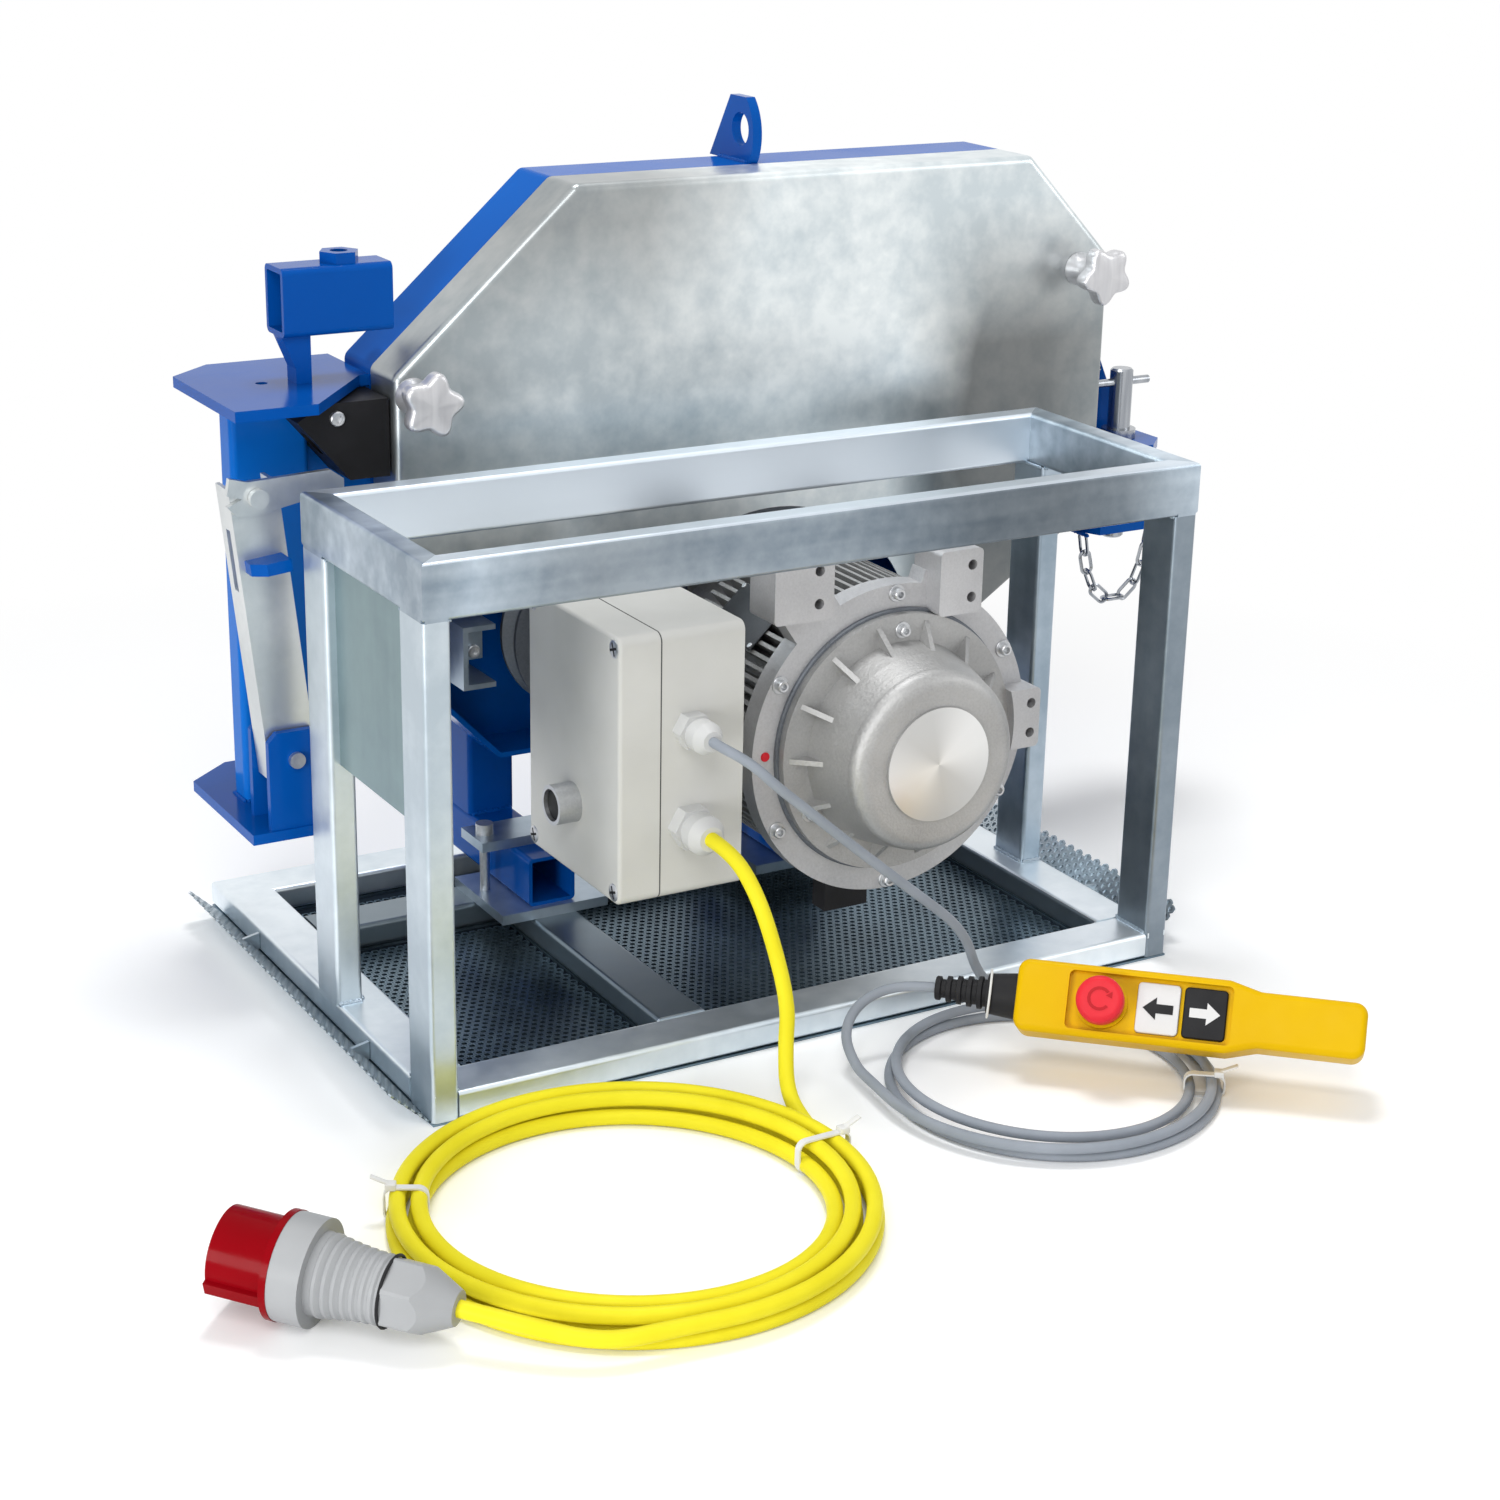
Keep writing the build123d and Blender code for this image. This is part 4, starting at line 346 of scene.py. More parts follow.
yellowCable = cableFinish("yellowCable", rgb(0.87, 0.775, 0.03), rgb(0.81, 0.71, 0.02))
greyCable = cableFinish("greyCable", rgb(0.33, 0.36, 0.41), rgb(0.27, 0.30, 0.34))

plugX, plugY = polar(-1, plugSeat["turn"])
plugOut = Vector((plugX, plugY, -math.sin(math.radians(plugSeat["tilt"]))))
mainsRoute = cordRoute(mains)
mainsRoute += [plugSeat["end"] + plugOut * plugSeat["straight"], plugSeat["end"]]
mainsCord = cordCurve("mainsCord", mainsRoute, mains["thick"], yellowCable)
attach(mainsCord, "stand")
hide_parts("mains_run", "mains_coil", "mains_tail")

leadTip = pendantSeat @ Vector(pendant["cordEnd"])
leadOut = (pendantSeat.to_3x3() @ Vector((-1, 0, 0))).normalized()
leadRoute = cordRoute(lead)
last = leadRoute[-1]
leadRoute += [last + Vector(step) for step in lead["rise"]]
leadRoute += [leadTip + leadOut * pendant["straight"], leadTip]
leadCord = cordCurve("leadCord", leadRoute, lead["thick"], greyCable)
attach(leadCord, "stand")
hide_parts("lead_run", "lead_coil", "lead_tail")
print("cords laid")


# small modelling helpers, all in millimetres from the stand's front left corner
toFrame = move((-standMiddle[0] / 1000, -standMiddle[1] / 1000, 0)) @ Matrix.Scale(0.001, 4)
faceFront = turnAbout("X", 90)  # local +Z looks along -Y
faceLeft = turnAbout("Y", -90)  # local +Z looks along -X
faceRight = turnAbout("Y", 90)  # local +Z looks along +X
sharpAbove = math.radians(38)
motor = {"x": 421, "z": 188, "disc": 22, "brake": 78, "shield": 88}  # its axis, and its faces along Y


def onMotor(face, reach=0, degrees=0):  # a seat on one of the motor's faces
    x, z = polar(reach, degrees)
    return move((motor["x"] + x, face, motor["z"] + z)) @ faceFront


def standBox(name):  # the lowest and highest corner of a node
    return [Vector(corner) * 1000 + Vector((*standMiddle, 0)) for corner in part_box(name)]


def turned(profile, steps):  # radius and height pairs, spun about Z
    mesh = bmesh.new()
    spots = [mesh.verts.new((radius, 0, height)) for radius, height in profile]
    edges = [mesh.edges.new(pair) for pair in zip(spots, spots[1:])]
    bmesh.ops.spin(mesh, geom=spots + edges, axis=(0, 0, 1), angle=math.tau, steps=steps, use_merge=True)
    bmesh.ops.remove_doubles(mesh, verts=mesh.verts, dist=0.0005)
    bmesh.ops.recalc_face_normals(mesh, faces=mesh.faces)
    return mesh


def rounded(mesh, geom, affect, offset, segments):
    bmesh.ops.bevel(
        mesh, geom=geom, offset=offset, affect=affect, segments=segments, profile=0.5, material=-1
    )


def slab(size, rounding=0.0, steps=2):  # a block with its edges rounded
    mesh = bmesh.new()
    bmesh.ops.create_cube(mesh, size=1, matrix=Matrix.Diagonal((*size, 1)))
    if rounding:
        rounded(mesh, mesh.edges[:], "EDGES", rounding, steps)
    return mesh


def lift(mesh, extruded, height):  # lifts what an extrusion has just made
    tops = [item for item in extruded["geom"] if isinstance(item, bmesh.types.BMVert)]
    bmesh.ops.translate(mesh, verts=tops, vec=(0, 0, height))
    bmesh.ops.recalc_face_normals(mesh, faces=mesh.faces)


def flatShape(outline, thick):  # a flat outline raised along Z
    mesh = bmesh.new()
    face = mesh.faces.new([mesh.verts.new((x, y, 0)) for x, y in outline])
    lift(mesh, bmesh.ops.extrude_face_region(mesh, geom=[face]), thick)
    return mesh


def addTo(whole, shape, seat):  # a copy of one shape, moved to its seat
    passing = bpy.data.meshes.new("passing")
    shape.to_mesh(passing)
    passing.transform(seat)
    whole.from_mesh(passing)
    bpy.data.meshes.remove(passing)


def gather(name, finish, parts, body="stand", smooth=True):  # several small shapes as one piece
    whole = bmesh.new()
    for shape, seat in parts:
        addTo(whole, shape, toFrame @ seat)
    obj = objectFrom(whole, name, finish, smooth)
    if smooth:
        obj.data.set_sharp_from_angle(angle=sharpAbove)
    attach(obj, body)
    return obj


# finishes
def zincFinish(name, tone, dark, cloud, fine=0.2, streak=0.14, grain=(1, 1, 0.06)):
    made = Finish(name, Metallic=0.85)
    seat = made.where()
    clouds = made.noise(seat, cloud, 1.5, 0.4, 0.3)
    runs = made.noise(made.where(scale=grain), 60, 2, 0.5)
    frost = made.noise(seat, cloud * 9, 3, 0.6)
    shade = made.spread(clouds * (1 - fine - streak) + runs * streak + frost * fine, 0.38, 0.62)
    made.tint = made.mix(shade, dark, tone)
    made.put("Base Color", made.tint)
    made.put("Roughness", made.spread(clouds * 0.6 + frost * 0.4, 0.35, 0.65, 0.28, 0.38))
    scratches = made.noise(made.where(scale=(1, 1, 30)), 60, 2)
    made.put("Normal", made.bump(scratches * 0.3 + clouds, 0.0003, 0.1))
    return made


def paintedLightAlong(made, along, levels):  # painted light and shade along a coordinate, with uneven edges
    uneven = along + made.noise(made.where(), 7, 3) * 0.16 - 0.08
    stops = [(spot, rgb(level, level, level)) for spot, level in levels]
    return made.node("ShaderNodeValToRGB", {"stops": stops}, {0: uneven})


zincTube = zincFinish("zincTube", rgb(0.50, 0.585, 0.665), rgb(0.29, 0.365, 0.435), 8)
# painted light and shade: paler and darker copies of the tube zinc, for the left posts and the front right
# post
zincPaintedLit = zincFinish("zincPaintedLit", rgb(0.67, 0.74, 0.79), rgb(0.47, 0.545, 0.60), 8)
zincPaintedShade = zincFinish("zincPaintedShade", rgb(0.285, 0.335, 0.385), rgb(0.165, 0.21, 0.25), 8)
zincPale = zincFinish("zincPale", rgb(0.80, 0.82, 0.82), rgb(0.58, 0.61, 0.62), 8)
zincSide = zincFinish("zincSide", rgb(0.25, 0.345, 0.36), rgb(0.145, 0.215, 0.24), 5)

railsPaintedShade = {"within": (0.276, 0.178), "share": 0.8, "colour": rgb(0.07, 0.115, 0.15)}  # painted shade on the rails under the hoist
# painted light: a paler copy of the zinc for the base frame, standing in for the white floor its faces mirror
zincBasePaintedLit = zincFinish("zincBasePaintedLit", rgb(0.85, 0.91, 0.95), rgb(0.62, 0.70, 0.76), 6)
withinX, withinY = railsPaintedShade["within"]
inside = (abs(zincBasePaintedLit.at(0)) < withinX) * (abs(zincBasePaintedLit.at(1)) < withinY)
zincBasePaintedLit.put("Base Color", zincBasePaintedLit.mix(inside * railsPaintedShade["share"], zincBasePaintedLit.tint, railsPaintedShade["colour"]))

brightLips = {"from": 0.3155, "colour": rgb(0.50, 0.57, 0.62)}  # the turned-up lips catch more light
# painted shade: the perforated sheet is a darker copy of the zinc, as it lies under the hoist
zincMeshPaintedShade = zincFinish("zincMeshPaintedShade", rgb(0.22, 0.31, 0.38), rgb(0.10, 0.15, 0.19), 9)
edge = abs(zincMeshPaintedShade.at(0)) > brightLips["from"]
zincMeshPaintedShade.put("Base Color", zincMeshPaintedShade.mix(edge, zincMeshPaintedShade.tint, brightLips["colour"]))

ring = {
    "halfLength": 0.315, "halfDepth": 0.105, "middleY": -0.115, "rear": -0.0312, "top": 0.3985,
    "pale": rgb(0.80, 0.88, 0.96), "rearShare": 0.85, "topShare": 0.6, "grain": (0.07, 1, 1),
    "levels": (
        (0, 0.74), (0.05, 1), (0.1, 0.78), (0.15, 0.6), (0.22, 0.5), (0.33, 0.6), (0.44, 0.64), (0.57, 0.54),
        (0.69, 0.34), (0.8, 0.31), (0.9, 0.44), (1, 1),
    ),
}
zincRing = zincFinish("zincRing", rgb(0.64, 0.73, 0.81), rgb(0.33, 0.41, 0.49), 8, 0.22, 0.34, ring["grain"])
# painted shade in bands along the ring, and painted highlight on the rear rail and the top faces
along = zincRing.spread(zincRing.at(0), -ring["halfLength"], ring["halfLength"])
ringPaintedShade = zincRing.mix(1, zincRing.tint, paintedLightAlong(zincRing, along, ring["levels"]), "MULTIPLY")
inset = ring["halfDepth"] - abs(zincRing.at(1) - ring["middleY"])
mitred = inset < ring["halfLength"] - abs(zincRing.at(0))  # the two long rails, up to their mitred corners
behind = (zincRing.at(1) > ring["rear"]) * mitred  # the rear rail faces the light
upper = (zincRing.at(2) > ring["top"]) * mitred
ringPaintedTops = zincRing.mix(upper * ring["topShare"], ringPaintedShade, ring["pale"])
zincRing.put("Base Color", zincRing.mix(behind * ring["rearShare"], ringPaintedTops, ring["pale"]))

sheet = {
    "ends": (-0.25, 0.43), "heights": (0.44, 0.56),
    "upper": ((0, 0.36), (0.36, 0.45), (0.5, 1), (1, 0.95)),
    "lower": ((0, 0.42), (0.25, 1), (0.68, 1), (0.8, 0.2), (0.9, 0.22), (1, 0.42)),
}
zincSheet = zincFinish("zincSheet", rgb(0.90, 0.94, 0.94), rgb(0.62, 0.69, 0.72), 6, 0.4, 0.03)
along = zincSheet.spread(zincSheet.at(0), *sheet["ends"])
height = zincSheet.spread(zincSheet.at(2), *sheet["heights"])
lower, upper = (paintedLightAlong(zincSheet, along, sheet[name]) for name in ("lower", "upper"))
coverPaintedBands = zincSheet.mix(height, lower, upper)  # painted light and shade in broad bands over the cover
zincSheet.put("Base Color", zincSheet.mix(1, zincSheet.tint, coverPaintedBands, "MULTIPLY"))


def enamelFinish(name, colour, deep, shine=0.07):
    made = Finish(name, Specular_IOR_Level=shine)
    seat = made.where()
    soft = made.noise(seat, 7, 2)
    made.put("Base Color", made.mix(made.spread(soft, 0.3, 0.7), deep, colour))
    made.put("Roughness", made.spread(made.noise(seat, 24, 2), 0.3, 0.7, 0.1, 0.2))
    peel = made.noise(seat, 260, 2)
    made.put("Normal", made.bump(peel, 0.0003, 0.12))
    return made


blueEnamel = enamelFinish("blueEnamel", rgb(0.001, 0.088, 0.40), rgb(0.001, 0.068, 0.335))
# painted light: a paler copy of the blue enamel for the column, which stands in the top plate's shade
blueColumnPaintedLit = enamelFinish("blueColumnPaintedLit", rgb(0.004, 0.15, 0.58), rgb(0.003, 0.125, 0.51))
blueTray = enamelFinish("blueTray", rgb(0.001, 0.105, 0.46), rgb(0.001, 0.085, 0.39), 0.02)


def castFinish(name, tone, dark, metal, coarse, rough=0.42):
    made = Finish(name, Metallic=metal)
    seat = made.where()
    clouds = made.noise(seat, 16, 4, 0.6)
    specks = made.noise(seat, 520, 2, 0.6)
    made.put("Base Color", made.mix(made.spread(clouds * 0.6 + specks * 0.5, 0.35, 0.75), dark, tone))
    made.put("Roughness", made.spread(specks, 0.3, 0.7, rough, rough + 0.16))
    skin = made.noise(seat, 260, 3, 0.65)
    made.put("Normal", made.bump(skin + specks * 0.4, coarse, 0.5))
    return made


castMetal = castFinish("castMetal", rgb(0.485, 0.485, 0.48), rgb(0.345, 0.345, 0.345), 0.6, 0.0006)
smoothCast = castFinish("smoothCast", rgb(0.62, 0.62, 0.63), rgb(0.46, 0.46, 0.47), 0.6, 0.0003)
brightSteel = castFinish("brightSteel", rgb(0.66, 0.67, 0.68), rgb(0.50, 0.51, 0.53), 0.95, 0.0001, 0.3)
darkIron = castFinish("darkIron", rgb(0.24, 0.26, 0.29), rgb(0.15, 0.165, 0.19), 0.7, 0.0003)
plateFinish = castFinish("ratingPlate", rgb(0.10, 0.105, 0.115), rgb(0.055, 0.06, 0.065), 0.6, 0.0001)


def machinedFinish(name, tone, dark, centre, pitch):  # rings from the turning tool about a centre
    made = Finish(name, Metallic=0.9)
    seat = made.where(shift=tuple(-value for value in centre))
    x, z = made.part(seat, 0), made.part(seat, 2)
    rings = made.maths("SINE", made.maths("SQRT", x * x + z * z) * (math.tau / pitch))
    angle = made.maths("ARCTAN2", z, x)
    # painted highlight: bright and dark sectors round the centre stand in for the sheen of the turned rings
    paintedSheen = made.maths("SINE", angle * 2 + 0.5) * 0.5 + 0.5
    made.put("Base Color", made.mix(made.spread(paintedSheen, 0.1, 0.95), dark, tone))
    made.put("Roughness", made.spread(made.noise(seat, 40, 2), 0.3, 0.7, 0.36, 0.42))
    made.put("Normal", made.bump(rings, 0.00004, 0.15))
    return made


discCentre = place(motor["x"], motor["disc"], motor["z"])
turnedSteel = machinedFinish("turnedSteel", rgb(0.80, 0.80, 0.79), rgb(0.58, 0.58, 0.57), discCentre, 0.0011)


def steelFinish(name, tone, dark, metal=0.95, rough=0.16):  # drawn bar, wire and polished castings
    made = Finish(name, Metallic=metal)
    drawn = made.noise(made.where(scale=(1, 1, 0.05)), 240, 2)
    made.put("Base Color", made.mix(made.spread(drawn, 0.3, 0.7), dark, tone))
    made.put("Roughness", made.spread(drawn, 0.3, 0.7, rough, rough + 0.09))
    made.put("Normal", made.bump(drawn, 0.0001, 0.1))
    return made


pinSteel = steelFinish("pinSteel", rgb(0.44, 0.46, 0.49), rgb(0.30, 0.32, 0.35))
knobMetal = steelFinish("knobMetal", rgb(0.64, 0.64, 0.655), rgb(0.56, 0.56, 0.58), 0.7, 0.3)


def plasticFinish(name, colour, shade, rough, texture, deep=0.0002, shine=0.14):
    made = Finish(name, Specular_IOR_Level=shine)
    seat = made.where()
    soft = made.noise(seat, 18, 3)
    made.put("Base Color", made.mix(made.spread(soft, 0.3, 0.72), shade, colour))
    made.put("Roughness", made.spread(made.noise(seat, 55, 2), 0.3, 0.7, rough - 0.05, rough + 0.07))
    made.put("Normal", made.bump(made.noise(seat, texture, 2), deep, 0.35))
    return made


boxPlastic = plasticFinish("boxPlastic", rgb(0.60, 0.60, 0.575), rgb(0.555, 0.555, 0.53), 0.45, 1100)
glandPlastic = plasticFinish("glandPlastic", rgb(0.60, 0.605, 0.60), rgb(0.54, 0.545, 0.545), 0.4, 800)
plugPlastic = plasticFinish("plugPlastic", rgb(0.38, 0.39, 0.40), rgb(0.335, 0.345, 0.355), 0.4, 800)
keyWhite = plasticFinish("keyWhite", rgb(0.74, 0.74, 0.735), rgb(0.69, 0.69, 0.69), 0.4, 900)
blackPlastic = plasticFinish("blackPlastic", rgb(0.018, 0.018, 0.02), rgb(0.011, 0.011, 0.012), 0.45, 900)
blackRubber = plasticFinish(
    "blackRubber", rgb(0.022, 0.022, 0.024), rgb(0.014, 0.014, 0.015), 0.55, 650, 0.0004
)
yellowPlastic = plasticFinish(
    "yellowPlastic", rgb(0.76, 0.47, 0.001), rgb(0.72, 0.43, 0.001), 0.36, 1000, shine=0.07
)
redPlastic = plasticFinish(
    "redPlastic", rgb(0.26, 0.001, 0.005), rgb(0.22, 0.001, 0.004), 0.16, 900, 0.0001, 0.05
)
stopRed = plasticFinish("stopRed", rgb(0.76, 0.03, 0.045), rgb(0.70, 0.022, 0.035), 0.4, 900)
markRed = plasticFinish("releaseMark", rgb(0.50, 0.012, 0.02), rgb(0.42, 0.01, 0.016), 0.45, 900)
tiePlastic = plasticFinish("tiePlastic", rgb(0.78, 0.78, 0.76), rgb(0.72, 0.72, 0.70), 0.35, 900)
seamFinish = plasticFinish("lidSeal", rgb(0.10, 0.10, 0.10), rgb(0.06, 0.06, 0.06), 0.6, 700)

finishOf = {
    "zinc": zincTube, "blue": blueEnamel, "cast": castMetal, "bright": brightSteel, "box_grey": boxPlastic,
    "knob_grey": knobMetal, "gland_grey": glandPlastic, "black": blackPlastic, "rubber": blackRubber,
    "sheave": darkIron, "yellow": yellowPlastic, "red": redPlastic, "white": keyWhite,
    "yellow_cable": yellowCable, "grey_cable": greyCable,
}
special = {
    "cover": zincSheet, "side_plate": zincSide, "skid_sheet": zincMeshPaintedShade, "base_frame": zincBasePaintedLit,
    "top_ring": zincRing, "front_left_post": zincPaintedLit, "rear_left_post": zincPaintedLit,
    "front_right_post": zincPaintedShade, "column": blueColumnPaintedLit, "tray": blueTray, "end_shield": smoothCast,
    "tension_lever": zincPale, "latch": zincPale, "anchor_pin": pinSteel, "tether_chains": pinSteel,
    "plug_body": plugPlastic, "stop_button": stopRed,
}
slotOf = {row["node"]: row["material_slot"] for row in frame["record"]["subparts"]}
for name, obj in nodes.items():
    finish = special.get(name, finishOf[slotOf[name]])
    obj.data.materials.clear()
    obj.data.materials.append(finish.material)
print("finishes on", len(nodes), "nodes")


# perforated sheet under the base: hexagon holes in staggered rows, with the edges turned up
skid = {
    "pitch": 7.0, "hole": 0.6, "top": 1.95, "thick": 1.4, "merge": 0.02,
    "windows": ((37, 199, 37, 303), (233, 593, 37, 303), (37, 593, 337, 403)),
    "lips": ((-42, 4, 4, 434), (626, 672, 20, 434)), "folds": ((-1, 0, 43), (1, 630, 47.5)),
    "gussetZ": (5.5, 18.5), "gussetReach": (15, 2.5), "gussetY": (110, 330), "gussetThick": 3,
    "stripThick": 1.6, "stripMiddle": 0.9,
    "strips": (
        (0, 630, 0, 40), (0, 630, 400, 440), (0, 40, 40, 400), (590, 630, 40, 400),
        (40, 590, 300, 340), (196, 236, 40, 300),
    ),
}


def holedCell():  # one hexagon with its hole
    mesh = bmesh.new()
    outer = skid["pitch"] / math.sqrt(3)
    inner = outer * skid["hole"]
    top, low = skid["top"], skid["top"] - skid["thick"]
    loops = []
    for radius, height in ((outer, top), (inner, top), (inner, low), (outer, low)):
        seat = move((0, 0, height)) @ turnAbout("Z", 30)
        loops.append(bmesh.ops.create_circle(mesh, segments=6, radius=radius, matrix=seat)["verts"])
    rims = [[edge for edge in mesh.edges if all(vert in loop for vert in edge.verts)] for loop in loops]
    for first, second in zip(rims, rims[1:]):
        bmesh.ops.bridge_loops(mesh, edges=first + second)
    bmesh.ops.recalc_face_normals(mesh, faces=mesh.faces)
    return mesh


def holedField(area):  # cells side by side over one window
    left, right, front, rear = area
    step = skid["pitch"]
    rise = step * math.sqrt(3)
    pair = bmesh.new()
    cell = holedCell()
    for shift in ((0, 0, 0), (step / 2, rise / 2, 0)):
        addTo(pair, cell, move((left + step / 2, front + step / 2, 0)) @ move(shift))
    cell.free()
    obj = objectFrom(pair, "passingField", zincMeshPaintedShade, False)
    counts = ((right - left - step / 2) / step, (rear - front - step) / rise)
    for axis, gap in enumerate((step, rise)):
        rows = obj.modifiers.new("rows", "ARRAY")
        rows.count = max(int(counts[axis]), 1)
        rows.use_relative_offset = False
        rows.use_constant_offset = True
        rows.constant_offset_displace = tuple(gap if index == axis else 0 for index in range(3))
    made = bpy.data.meshes.new_from_object(obj.evaluated_get(bpy.context.evaluated_depsgraph_get()))
    bpy.data.objects.remove(obj)
    return made


whole = bmesh.new()
for area in skid["windows"] + skid["lips"]:
    field = holedField(area)
    whole.from_mesh(field)
    bpy.data.meshes.remove(field)
bmesh.ops.remove_doubles(whole, verts=whole.verts, dist=skid["merge"])
for side, fold, slope in skid["folds"]:  # the lips are bent up past the rails
    outside = [vert for vert in whole.verts if side * (vert.co.x - fold) > 0]
    bend = move((fold, 0, 0)) @ turnAbout("Y", -side * slope) @ move((-fold, 0, 0))
    bmesh.ops.transform(whole, matrix=bend, verts=outside)
for left, right, front, rear in skid["strips"]:  # plain under the rails
    strip = slab((right - left, rear - front, skid["stripThick"]))
    addTo(whole, strip, move(((left + right) / 2, (front + rear) / 2, skid["stripMiddle"])))
for side, fold, slope in skid["folds"]:  # tabs between the lips and the rails
    rise = math.tan(math.radians(slope))
    outline = [(fold, z) for z in skid["gussetZ"]]
    outline += [(fold + side * reach, skid["thick"] + reach * rise) for reach in skid["gussetReach"]]
    for y in skid["gussetY"]:
        tab = flatShape(outline, skid["gussetThick"])
        addTo(whole, tab, move((0, y + skid["gussetThick"], 0)) @ faceFront)
bmesh.ops.transform(whole, matrix=toFrame, verts=whole.verts)
skidSheet = objectFrom(whole, "skidSheet", zincMeshPaintedShade, False)
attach(skidSheet, "stand")
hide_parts("skid_sheet")
print("skid sheet has", len(skidSheet.data.polygons), "faces")


# star knobs that hold the cover
starKnob = {
    "reach": 24.3, "valley": 6.6, "arms": 5, "head": 15.0, "headFrom": 28.0, "edge": 4.2, "crown": 1.6,
    "hub": ((0, 0.4), (13.5, 0.4), (13.5, 4), (10, 9), (10, 22), (13, 29), (0, 29)), "coverY": 270,
}
knobs = {"left_knob": ("knob_left", 112, 445, 4), "right_knob": ("knob_right", 708, 496, 48)}


def starHead():
    mesh = bmesh.new()
    bmesh.ops.create_circle(mesh, cap_ends=True, segments=60, radius=1)
    for vert in mesh.verts:
        angle = math.atan2(vert.co.y, vert.co.x)
        reach = starKnob["reach"] - starKnob["valley"] * (0.5 - 0.5 * math.cos(starKnob["arms"] * angle))
        vert.co = vert.co * reach
    lift(mesh, bmesh.ops.extrude_face_region(mesh, geom=mesh.faces[:]), starKnob["head"])
    rims = [edge for edge in mesh.edges if abs(edge.verts[0].co.z - edge.verts[1].co.z) < 0.01]
    rounded(mesh, rims, "EDGES", starKnob["edge"], 5)
    top = max(mesh.faces, key=lambda face: face.calc_center_median().z)
    crown = bmesh.ops.poke(mesh, faces=[top])
    bmesh.ops.translate(mesh, verts=crown["verts"], vec=(0, 0, starKnob["crown"]))
    return mesh


for name, (body, x, z, spin) in knobs.items():
    seat = move((x, starKnob["coverY"], z)) @ faceFront
    headSeat = seat @ move((0, 0, starKnob["headFrom"])) @ turnAbout("Z", spin)
    parts = [(starHead(), headSeat), (turned(starKnob["hub"], 32), seat)]
    knob = gather(name + "Star", knobMetal, parts, body)
    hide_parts(name)
print("star knobs made")


# screws and bolts
def capScrew(radius, height, edge=0.7):
    hole, floorUp = radius * 0.55, height * 0.4
    return turned((
        (0, floorUp), (hole, floorUp), (hole, height - 0.2), (radius - edge, height), (radius, height - edge),
        (radius, 0), (0, 0),
    ), 24)


def flatWasher(radius, height, edge=0.3):
    return turned(((0, height), (radius - edge, height), (radius, height - edge), (radius, 0), (0, 0)), 24)


motorBolts = (  # face, reach, angles, screw, washer
    (motor["shield"], 115, range(30, 390, 60), (4.6, 6.5), (6.8, 1.4)),
    (motor["brake"], 89, (90, 210, 330), (4.4, 6.0), (6.4, 1.2)),
)
parts = []
for face, reach, angles, screw, washer in motorBolts:
    for angle in angles:
        seat = onMotor(face, reach, angle)
        parts += [(capScrew(*screw), seat), (flatWasher(*washer), seat)]

guideScrew = {"x": 56, "z": 432, "size": (5.5, 4)}
guideFront = standBox("rope_guide")[0].y
guideSeat = move((guideScrew["x"], guideFront, guideScrew["z"])) @ faceFront
parts.append((capScrew(*guideScrew["size"]), guideSeat))

channelClamp = {
    "size": (19, 3, 27), "edge": 0.6, "wall": 4, "behind": 15, "bolt": (5.2, 4.5), "boltAt": (10, -6),
}
channelLow, channelHigh = standBox("bracket_channel")
clampSize = Vector(channelClamp["size"])
clampLow = Vector((
    channelLow.x + channelClamp["wall"], channelLow.y + channelClamp["behind"],
    channelHigh.z - channelClamp["wall"] - clampSize.z,
))
boltX, boltZ = channelClamp["boltAt"]
boltSeat = move(clampLow + Vector((boltX, 0, clampSize.z / 2 + boltZ))) @ faceFront
parts.append((capScrew(*channelClamp["bolt"]), boltSeat))
gather("motorScrews", brightSteel, parts)
clampBlock = slab(clampSize, channelClamp["edge"])
gather("channelClamp", zincTube, [(clampBlock, move(clampLow + clampSize / 2))])

postScrew = {"at": (630, 20, 335), "size": (5, 3.5)}
postSeat = move(postScrew["at"]) @ faceRight
gather("postScrew", darkIron, [(capScrew(*postScrew["size"]), postSeat)])

discProfile = ((0, 0.25), (43.6, 0.25), (44.2, 0.05), (44.2, -0.5), (0, -0.5))
gather("turnedDisc", turnedSteel, [(turned(discProfile, 72), onMotor(motor["disc"]))])
# a dark ring round the brake cover's flange, against the end shield
brakeRingProfile = ((100.4, 0), (103.6, 0), (103.6, 2.2), (102.8, 3.2), (100.4, 3.2), (100.4, 0))
gather("brakeDarkRing", darkIron, [(turned(brakeRingProfile, 96), onMotor(motor["shield"]))])

ratingPlate = {
    "size": (46, 66, 1.2), "edge": 0.4, "y": 172, "turn": -43, "reach": 116.2, "rivet": (2.2, 1.0),
    "rivetX": (-20, 20), "rivetY": (-30, 30),
}
plateAxis = move((motor["x"], ratingPlate["y"], motor["z"]))
plateSeat = plateAxis @ turnAbout("Y", ratingPlate["turn"]) @ move((0, 0, ratingPlate["reach"]))
plateShape = slab(ratingPlate["size"], ratingPlate["edge"])
gather("bareRatingPlate", plateFinish, [(plateShape, plateSeat)])
rivets = []
for x in ratingPlate["rivetX"]:
    for y in ratingPlate["rivetY"]:
        rivetSeat = plateSeat @ move((x, y, ratingPlate["size"][2] / 2))
        rivets.append((flatWasher(*ratingPlate["rivet"]), rivetSeat))
gather("plateRivets", brightSteel, rivets)

paintMark = {"x": 310, "z": 191, "profile": ((0, 1.5), (3, 1.5), (3.6, 0.9), (3.6, 0), (0, 0))}
markSeat = move((paintMark["x"], motor["shield"], paintMark["z"])) @ faceFront
gather("paintMark", stopRed, [(turned(paintMark["profile"], 20), markSeat)])

